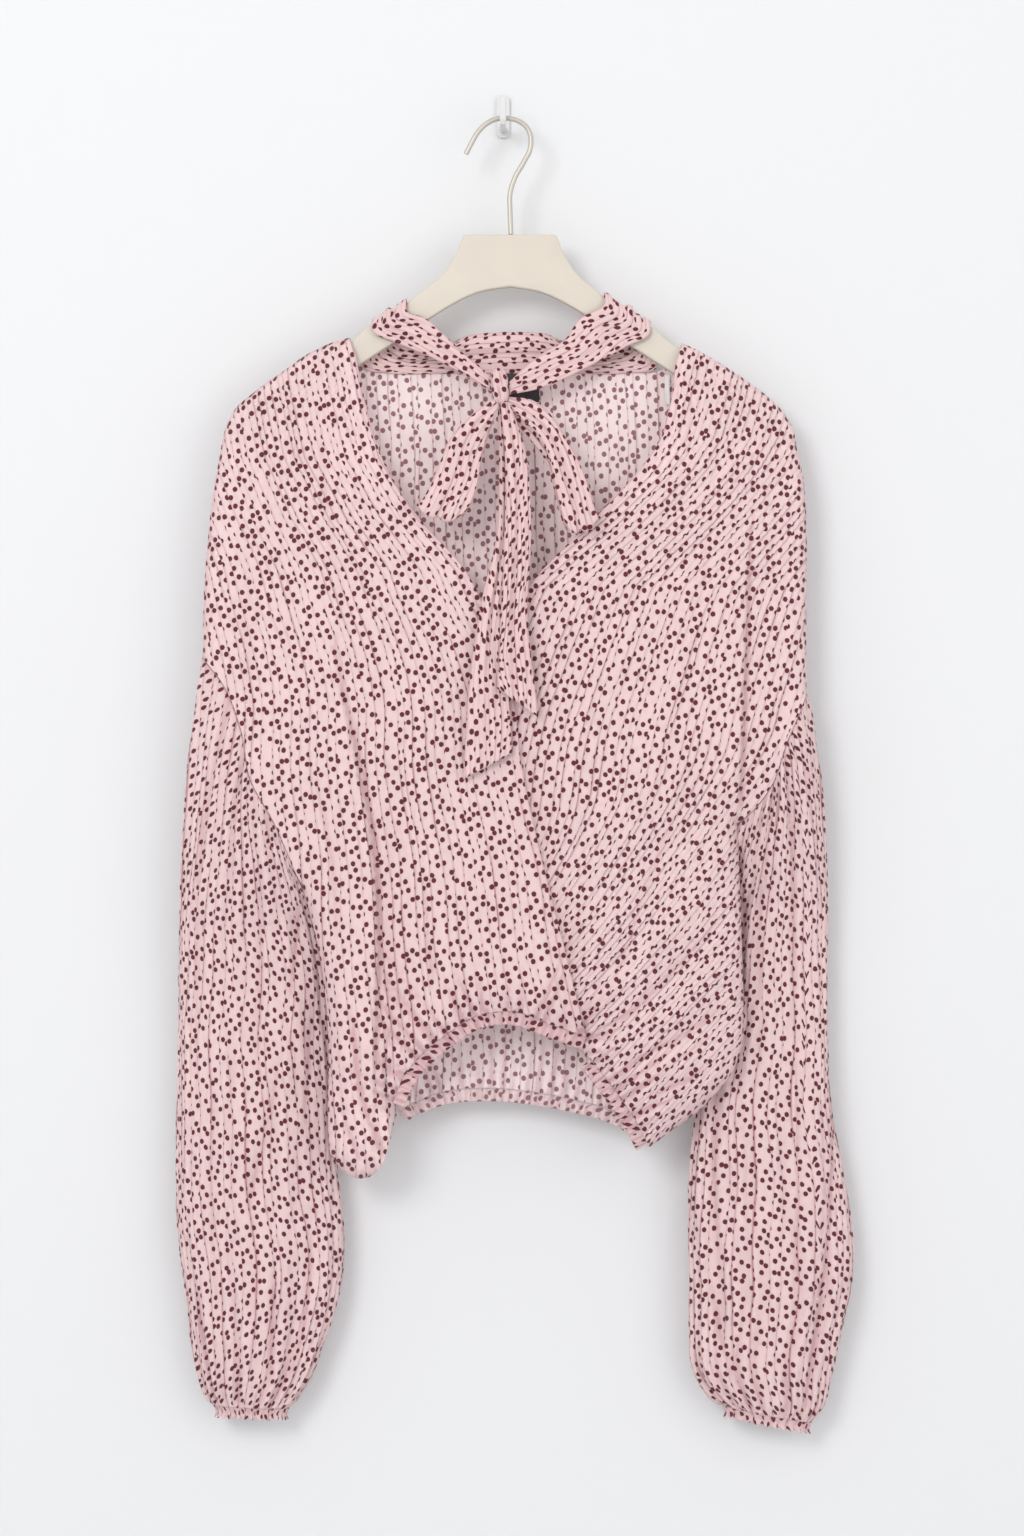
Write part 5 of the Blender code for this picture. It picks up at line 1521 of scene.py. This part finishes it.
@dataclass
class HemBand:
    """The elastic casing along part of a panel's bottom edge."""

    name: str
    panel: Sheet
    first: float
    last: float
    outer: bpy.types.Material
    inner: bpy.types.Material
    drop: float = 0.009
    pitch: float = 0.0062
    ruffle: float = 0.0008
    rows: int = 10
    step: float = 0.0009
    gathered: float = 1.12

    def build(self) -> None:
        """Makes the band from the panel's own bottom edge."""
        edge = self.panel.points[-1]
        x = edge[:, 0]
        inside = (x >= self.first) & (x <= self.last)
        edge, pattern, tucks = edge[inside], self.panel.pattern[-1][inside], self.panel.tucks[-1][inside]
        along = lengths(edge)
        at = np.linspace(0, along[-1], int(along[-1] / self.step))
        line = np.stack([np.interp(at, along, column) for column in edge.T], axis=1)
        spots = np.stack([np.interp(at, along, column) for column in pattern.T], axis=1)
        tucks = np.stack([np.interp(at, along, column) for column in tucks.T], axis=1)
        smooth = spline(line[::6], steps(len(at) - 1))
        tangent = np.gradient(smooth, axis=0)
        down = np.stack([tangent[:, 2], np.zeros(len(at)), -tangent[:, 0]], axis=1)
        down *= np.sign(-down[:, 2:])
        down /= np.linalg.norm(down, axis=1, keepdims=True)
        out = self.panel.outward()[-1][inside]
        out = np.array([0.0, math.copysign(1.0, out[:, 1].mean()), 0.0])
        wave = np.cos(2 * np.pi * at / self.pitch + 2.0 * soft_noise(at, 0.05, 91))[:, None]
        grid, casing_and_shade, spread = [], [], []
        for v in steps(self.rows):
            blend = smooth_step(np.array(v * 3))
            base = line * (1 - blend) + smooth * blend
            pinch = -0.0010 * math.sin(math.pi * min(1.2 * v, 1.0)) + self.ruffle * wave * (0.25 + 0.75 * v)
            grid.append(base + down * (GAP * 1.6 + (self.drop - GAP) * v) + out * pinch)
            # Doubled cloth of the casing, with painted shade in the valleys of its gathers
            casing_and_shade.append(0.40 + 0.35 * np.clip(-wave[:, 0], 0, 1))
            spread.append(spots + (0.0, 0.002 + self.drop * v))
        points = np.array(grid)
        tucks = np.repeat(tucks[None], self.rows + 1, axis=0)
        sheet = Sheet(points, np.array(spread), tucks, np.array(casing_and_shade))
        normal = grid_normals(points, False)[self.rows // 2, len(at) // 2, 1]
        sheet.facing = math.copysign(1.0, out[1]) * math.copysign(1.0, normal)
        piece = sheet.build(f"{self.name}_cloth", self.outer, self.inner)
        declare(sheet, (at[-1] * self.gathered, self.drop))
        settle(piece, self.name)


@dataclass
class Tie:
    """The tie: its strip round the neck, knot, two loops and two tails, all of double cloth."""

    form: BodyForm | None
    outer: bpy.types.Material
    inner: bpy.types.Material
    across: int = 26
    thickness: float = 0.0007
    pleat: float = 0.0011
    knot_centre: tuple[float, float, float] = (-0.0020, -0.0452, -0.1985)
    knot_size: tuple[float, float, float] = (0.0060, 0.0060, 0.0127)
    knot_thickness: float = 0.0022
    neck_gap: float = 0.0014
    turn_reach: float = 0.009
    turn_round: float = 0.0065

    def strip(self, a_rows: Points, b_rows: Points, per: int, seed: int, turned: int = 0) -> Sheet:
        """A strip between two edges, with soft lengthwise pleats.

        Args:
            a_rows: Stations of one edge.
            b_rows: Stations of the other edge.
            per: Rows between two stations.
            seed: Picks the pleats.
            turned: The station where the strip turns back, with rounded corners, or 0.

        Returns:
            The strip's sheet.
        """
        middle = lengths((a_rows + b_rows) / 2)
        count = (len(middle) - 1) * per
        at = np.interp(np.arange(count + 1) / per, np.arange(len(middle)), middle)
        a, b = curve(a_rows, middle, at), curve(b_rows, middle, at)
        share = steps(self.across)[None, :, None]
        grid = a[:, None] * (1 - share) + b[:, None] * share
        if turned:
            close = np.exp(-(((at - middle[turned]) / self.turn_reach) ** 2))[:, None]
            grid[..., 2] += self.turn_round * close * np.abs(2 * share[..., 0] - 1) ** 3
        normals = grid_normals(grid, False)
        wide = np.linalg.norm(b - a, axis=1)[:, None]
        spot = (share[..., 0] - 0.5) * wide
        ends = np.sin(np.pi * share[..., 0]) ** 0.5
        sway = 0.08 * soft_noise(at, 0.09, seed)[:, None]
        pleats = np.cos(2 * np.pi * (2.2 * share[..., 0] + sway))
        pleats = pleats + 0.5 * np.cos(2 * np.pi * (4.3 * share[..., 0] - 2 * sway))
        crinkle = Crinkle(seed + 3, pitch=0.0038, height=0.0007, width=0.0008, puff=0.0004, wander=0.0016)
        relief, tucks = crinkle.read(spot + 0.0001, at[:, None] * np.ones_like(spot))
        height = (self.pleat * pleats * ends + relief * ends) * np.minimum(1, wide / 0.018)
        grid = grid + normals * height[..., None]
        edge = np.exp(-((0.5 - np.abs(share[..., 0] - 0.5)) * wide / 0.0012) ** 2)
        pattern = np.stack([spot + 0.02 * seed, at[:, None] * np.ones_like(spot)], axis=-1)
        return Sheet(grid, pattern, tucks, 0.5 * edge, thickness=self.thickness)

    def finish(self, sheet: Sheet, node: str) -> None:
        """Centres the strip's thickness on its grid, then makes and fixes it.

        Args:
            sheet: The strip's sheet.
            node: The node whose solid it stands for.
        """
        sheet.points = sheet.points + sheet.outward() * self.thickness / 2
        piece = sheet.build(f"{node}_cloth", self.outer, self.inner)
        declare(sheet)
        settle(piece, node)

    def collar(self) -> None:
        """The strip from the knot over a hanger arm, behind the neck, over the other arm and back."""
        top = spline(ARM_TOP, steps(200))

        def crown(side: int, places: tuple[float, float], order: list) -> Points:
            """The strip's two edges over one hanger arm.

            Args:
                side: -1 for the right arm, 1 for the left.
                places: Each edge's distance from the hanger's middle.
                order: Y and height over the arm at each station.

            Returns:
                Stations by edge by x, y and z.
            """
            rows = []
            for y, rise in order:
                row = []
                for place in places:
                    height = float(np.interp(place, top[:, 0], top[:, 1]))
                    row.append((HANGER_X + side * place, HANGER_Y + y, height + rise))
                rows.append(row)
            return np.array(rows)

        def behind(row: tuple[float, float, float, float]) -> list:
            """One station laid against the back neck.

            Args:
                row: X and z of edge a and of edge b.

            Returns:
                The two edges' points.
            """
            x, z = np.array([row[0], row[2]]), np.array([row[1], row[3]])
            neck = self.form.back(x, np.full(2, NECK_Z)) - self.neck_gap
            return [(x[0], neck[0], z[0]), (x[1], neck[1], z[1])]

        right, left = np.array(STRAP_RIGHT), np.array(STRAP_LEFT)
        over_right = crown(-1, CROWN_RIGHT, CROWN)
        over_left = crown(1, CROWN_LEFT, CROWN[::-1])
        back = np.array([behind(row) for row in COLLAR_BACK])
        edges = []
        for edge, columns in enumerate(([0, 4, 1], [2, 4, 3])):
            edges.append(np.concatenate([
                right[:, columns], over_right[:, edge], back[:, edge], over_left[:, edge], left[:, columns],
            ]))
        self.finish(self.strip(*edges, 8, 5), "tie_collar")

    def knot(self) -> None:
        """The small wrapped knot, with creases that run round it."""
        rings, around = 44, 72
        level = np.pi * (np.arange(rings + 1) + 0.5) / (rings + 1)
        turn = np.linspace(0, 2 * np.pi, around, endpoint=False)
        level, turn = np.meshgrid(level, turn, indexing="ij")
        width = np.sin(level) ** 0.55
        folds = 0.045 * np.cos(4 * turn + 2.0 * level) + 0.03 * np.cos(9 * turn - 3 * level)
        z = self.knot_size[2] * np.cos(level)
        x = self.knot_size[0] * width * (1 + folds) * np.cos(turn) - 0.12 * z
        y = self.knot_size[1] * width * (1 + folds) * np.sin(turn)
        grid = np.stack([x, y, z], axis=-1) + np.array(self.knot_centre)
        pattern = np.zeros((rings + 1, around + 1, 2))
        pattern[..., 0] = np.linspace(0, 0.036, around + 1)
        pattern[..., 1] = -z[:, :1] + 0.3
        # Painted shade in the valleys between the knot's folds
        layers_and_shade = np.clip(-folds * 14, 0, 1)
        middle = grid - np.array(self.knot_centre)
        facing = math.copysign(1.0, (middle * grid_normals(grid, True)).sum())
        sheet = Sheet(
            grid, pattern, pattern * 0.0, layers_and_shade, closed=True, thickness=self.knot_thickness, facing=facing
        )
        piece = sheet.build("tie_knot_cloth", self.outer, self.inner)
        settle(piece, "tie_knot")

    def build(self) -> None:
        """Makes every piece of the tie."""
        self.collar()
        self.knot()
        pieces = (
            ("tie_loop_right", LOOP_RIGHT, 21), ("tie_loop_left", LOOP_LEFT, 33),
            ("tie_tail_back", TAIL_BACK, 44), ("tie_tail_front", TAIL_FRONT, 57),
        )
        for node, rows, seed in pieces:
            table = np.array(rows)
            loop = len(table) > 8
            turned = len(table) // 2 if loop else 0
            strip = self.strip(table[:, [0, 4, 1]], table[:, [2, 4, 3]], 14 if loop else 28, seed, turned)
            self.finish(strip, node)


@dataclass
class Trim:
    """The plain woven label at the back neck and the tape loop inside the left shoulder."""

    label: bpy.types.Material
    tape: bpy.types.Material

    def patch(self, node: str, bow: float) -> Sheet:
        """A soft patch in the place of its solid.

        Args:
            node: The solid's node.
            bow: How far its middle bows out.

        Returns:
            The sheet.
        """
        low, high = (np.array(corner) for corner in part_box(node))
        columns, rows = 24, 30
        u, v = np.meshgrid(steps(columns), steps(rows))
        x = low[0] + (high[0] - low[0]) * u
        z = high[2] + (low[2] - high[2]) * v
        y = low[1] + 0.0002 - bow * np.sin(np.pi * u) * v ** 2 + 0.00015 * np.cos(9 * u + 5 * v)
        grid, pattern = np.stack([x, y, z], axis=-1), np.stack([x, -z], axis=-1)
        sheet = Sheet(grid, pattern, pattern * 0.0, np.zeros(u.shape), thickness=0.0004)
        sheet.facing = -math.copysign(1.0, grid_normals(sheet.points, False)[rows // 2, columns // 2, 1])
        return sheet

    def build(self) -> None:
        """Makes the label and the tape loop."""
        sheet = self.patch("neck_label", 0.0006)
        piece = sheet.build("neck_label_woven", self.label, self.label)
        declare(sheet)
        settle(piece, "neck_label")
        low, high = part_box("hanger_loop_left")
        a = np.array([
            (low[0] + 0.0005, low[1], high[2]),
            (low[0] + 0.0002, low[1] - 0.0008, (low[2] + high[2]) / 2),
            (low[0] + 0.0008, low[1], low[2]),
        ])
        strip = Tie(None, self.tape, self.tape, across=8, thickness=0.0005, pleat=0.0001)
        sheet = strip.strip(a, a + np.array([0.0035, 0.0, 0.0]), 16, 3)
        sheet.layers_and_shade[:] = 0.0
        sheet.points = sheet.points + np.array([0.0, 0.0004, 0.0])
        piece = sheet.build("hanger_loop_tape", self.tape, self.tape)
        settle(piece, "hanger_loop_left")


def select_only(piece: bpy.types.Object) -> None:
    """Leaves one object selected and active.

    Args:
        piece: The object.
    """
    bpy.ops.object.select_all(action="DESELECT")
    piece.select_set(True)
    bpy.context.view_layer.objects.active = piece


@dataclass
class Hanger:
    """The flat hanger, its wire hook and the wall hook that holds it."""

    body: bpy.types.Material
    wire: bpy.types.Material
    white: bpy.types.Material
    thick: float = 0.008
    edge: float = 0.0032
    wire_radius: float = 0.0018

    def arms(self) -> None:
        """The flat body with soft edges, cut out and rounded over."""
        half = np.concatenate([
            spline(ARM_TOP, steps(60)), spline(ARM_TIP, steps(8))[1:], spline(ARM_BOTTOM, steps(56))[1:],
        ])
        outline = np.concatenate([half, half[-2::-1] * np.array([-1.0, 1.0])])
        mesh = bpy.data.meshes.new("hanger_body")
        corners = [(HANGER_X + x, HANGER_Y - self.thick / 2, z) for x, z in outline]
        mesh.from_pydata(corners, [], [tuple(range(len(corners)))])
        piece = bpy.data.objects.new("hanger_body", mesh)
        bpy.context.scene.collection.objects.link(piece)
        select_only(piece)
        bpy.ops.object.mode_set(mode="EDIT")
        bpy.ops.mesh.select_all(action="SELECT")
        bpy.ops.mesh.extrude_region_move(TRANSFORM_OT_translate={"value": (0.0, self.thick, 0.0)})
        bpy.ops.mesh.select_all(action="SELECT")
        bpy.ops.mesh.normals_make_consistent(inside=False)
        bpy.ops.object.mode_set(mode="OBJECT")
        bevel = piece.modifiers.new("Edges", "BEVEL")
        bevel.width = self.edge
        bevel.segments = 5
        bevel.limit_method = "ANGLE"
        bevel.angle_limit = math.radians(60)
        bpy.ops.object.modifier_apply(modifier=bevel.name)
        bpy.ops.object.shade_smooth_by_angle(angle=math.radians(35))
        mesh.materials.append(self.body)
        settle(piece, "hanger")

    def hook(self) -> None:
        """The bent wire, with a rounded end."""
        bpy.ops.object.select_all(action="DESELECT")
        line = bpy.data.curves.new("hook_wire", "CURVE")
        line.dimensions = "3D"
        line.bevel_depth = self.wire_radius
        line.bevel_resolution = 5
        line.use_fill_caps = True
        points = spline(HOOK, steps(110))
        run = line.splines.new("POLY")
        run.points.add(len(points) - 1)
        for point, (x, z) in zip(run.points, points):
            point.co = (x, HANGER_Y, z, 1.0)
        piece = bpy.data.objects.new("hook_wire", line)
        bpy.context.scene.collection.objects.link(piece)
        select_only(piece)
        bpy.ops.object.convert(target="MESH")
        piece = bpy.context.object
        bpy.ops.object.mode_set(mode="EDIT")
        bpy.ops.mesh.select_all(action="SELECT")
        bpy.ops.mesh.remove_doubles(threshold=1e-6)
        bpy.ops.mesh.normals_make_consistent(inside=False)
        bpy.ops.object.mode_set(mode="OBJECT")
        bpy.ops.object.shade_smooth_by_angle(angle=math.radians(50))
        piece.data.materials.clear()
        piece.data.materials.append(self.wire)
        settle(piece, "hanger_hook")

    def build(self) -> None:
        """Makes the hanger and dresses the wall hook."""
        self.arms()
        self.hook()
        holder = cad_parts["wall_hook"]
        holder.data.materials.clear()
        holder.data.materials.append(self.white)
        LOG.info("wall_hook: dressed")


@dataclass
class Studio:
    """Pale wall, floor, soft light and the camera."""

    wall: tuple[float, float, float] = (0.690, 0.693, 0.702)
    floor_z: float = -1.45
    key_power: float = 38.0
    fill_power: float = 13.0
    back_power: float = 24.0
    world: float = 0.98
    camera_at: tuple[float, float, float] = (0.0063, -2.569, -0.4641)
    lens: float = 85.0
    aim: tuple[float, float, float] = (0.0, -0.03, -0.45)
    clear_layers: int = 18

    def build(self) -> None:
        """Sets the stage."""
        scene = bpy.context.scene
        scene.view_settings.view_transform = "Standard"
        scene.cycles.transparent_max_bounces = self.clear_layers
        world = bpy.data.worlds.new("pale_room")
        world.use_nodes = True
        world.node_tree.nodes["Background"].inputs["Color"].default_value = (1.0, 1.0, 1.0, 1.0)
        world.node_tree.nodes["Background"].inputs["Strength"].default_value = self.world
        scene.world = world
        backdrop = self.sheet_of("backdrop", (0.0, 0.0006, 0.4), (6.0, 3.7), True)
        floor = self.sheet_of("floor", (0.0, 0.0, self.floor_z), (8.0, 8.0), False)
        self.lamp("key", (-1.3, -2.9, 0.7), 1.1, self.key_power)
        self.lamp("fill", (1.9, -2.3, -0.2), 2.0, self.fill_power)
        behind = self.lamp("behind", (0.6, 2.6, 0.9), 2.0, self.back_power)
        free = bpy.data.collections.new("not_shading_the_back")
        free.objects.link(backdrop)
        behind.light_linking.blocker_collection = free
        free.collection_objects[0].light_linking.link_state = "EXCLUDE"
        self.camera(scene)

    def sheet_of(self, name: str, at: tuple, size: tuple, upright: bool) -> bpy.types.Object:
        """A flat stage sheet, seen from its front only where it stands upright.

        Args:
            name: Its name.
            at: Its middle.
            size: Width and height.
            upright: Whether it is a wall.

        Returns:
            The object.
        """
        bpy.ops.object.select_all(action="DESELECT")
        bpy.ops.mesh.primitive_plane_add(size=1.0, location=at)
        sheet = bpy.context.object
        sheet.name = name
        sheet.scale = (size[0], size[1], 1.0)
        if upright:
            sheet.rotation_euler = (math.radians(90), 0.0, 0.0)
        bpy.ops.object.transform_apply(location=True, rotation=True, scale=True)
        paint = bpy.data.materials.new(name)
        paint.use_nodes = True
        nodes, links = paint.node_tree.nodes, paint.node_tree.links
        shader = nodes["Principled BSDF"]
        shader.inputs["Base Color"].default_value = (*self.wall, 1.0)
        shader.inputs["Roughness"].default_value = 0.9
        shader.inputs["Specular IOR Level"].default_value = 0.1
        if upright:
            face = nodes.new("ShaderNodeNewGeometry")
            clear = nodes.new("ShaderNodeBsdfTransparent")
            either = nodes.new("ShaderNodeMixShader")
            links.new(face.outputs["Backfacing"], either.inputs[0])
            links.new(shader.outputs[0], either.inputs[1])
            links.new(clear.outputs[0], either.inputs[2])
            links.new(either.outputs[0], nodes["Material Output"].inputs["Surface"])
        sheet.data.materials.append(paint)
        return sheet

    def lamp(
        self, name: str, at: tuple[float, float, float], size: float, power: float
    ) -> bpy.types.Object:
        """A square soft light that faces the blouse.

        Args:
            name: Its name.
            at: Where it hangs.
            size: Its side in metres.
            power: Watts.

        Returns:
            The lamp.
        """
        light = bpy.data.lights.new(name, "AREA")
        light.size = size
        light.energy = power
        lamp = bpy.data.objects.new(name, light)
        lamp.location = at
        lamp.rotation_euler = (Vector(self.aim) - Vector(at)).to_track_quat("-Z", "Y").to_euler()
        bpy.context.scene.collection.objects.link(lamp)
        return lamp

    def camera(self, scene: bpy.types.Scene) -> None:
        """A long lens level with the blouse's middle.

        Args:
            scene: The scene.
        """
        lens = bpy.data.cameras.new("camera")
        lens.lens = self.lens
        lens.sensor_width = 36.0
        lens.clip_start = 0.05
        eye = bpy.data.objects.new("camera", lens)
        eye.location = self.camera_at
        eye.rotation_euler = (math.radians(90), 0.0, 0.0)
        scene.collection.objects.link(eye)
        scene.camera = eye


def main() -> None:
    """Dresses the frame piece by piece."""
    logging.basicConfig(level=logging.INFO, format="%(message)s")
    outer = ChiffonFinish("chiffon_outside").build()
    # The inside is a paler copy of the chiffon: its fainter dots are the print seen from the wrong side,
    # and its paler ground is painted light for light that passes through the sheer cloth
    inner = ChiffonFinish(
        "chiffon_inside", ground=(1.0, 0.865, 0.855), dot=(0.36, 0.18, 0.20),
        cover=0.60, dot_cover=0.68, crepe=0.1,
    ).build()
    tie = {
        "ground": (0.785, 0.575, 0.570), "cover": 0.78, "layers_and_shade_cover": 0.2,
        "dot_cover": 0.96, "hidden": 0.0020,
    }
    tie_outer = ChiffonFinish("tie_outside", **tie).build()
    tie_inner = ChiffonFinish("tie_inside", **tie).build()

    form = BodyForm()
    sheets = Body(form, outer, inner).build()
    Sleeve(
        Side.RIGHT, SLEEVE_RIGHT, SLEEVE_FOLDS_RIGHT, SLEEVE_CREASES_RIGHT, (-0.916, -0.400), outer, inner
    ).build(form)
    Sleeve(
        Side.LEFT, SLEEVE_LEFT, SLEEVE_FOLDS_LEFT, SLEEVE_CREASES_LEFT, (0.884, -0.467), outer, inner
    ).build(form)
    HemBand("hem_band_right", sheets["front_right"], -0.0770, 0.0574, outer, inner).build()
    HemBand("hem_band_left", sheets["front_left"], 0.0600, 0.1012, outer, inner).build()
    HemBand("hem_band_back", sheets["back"], -0.0735, 0.0960, outer, inner).build()
    Tie(form, tie_outer, tie_inner).build()
    Trim(
        PlainFinish("woven_black", (0.012, 0.012, 0.014), 0.55, grain=900.0, bump=0.3).build(),
        PlainFinish("white_tape", (0.72, 0.70, 0.70), 0.35, grain=700.0, bump=0.2).build(),
    ).build()
    Hanger(
        PlainFinish("cream_body", (0.585, 0.530, 0.455), 0.55, grain=40.0).build(),
        PlainFinish("pale_wire", (0.50, 0.465, 0.41), 0.42, metallic=0.55, grain=300.0).build(),
        PlainFinish("wall_hook_white", (0.62, 0.62, 0.62), 0.35, grain=80.0).build(),
    ).build()
    Studio().build()


if __name__ == "__main__":
    main()
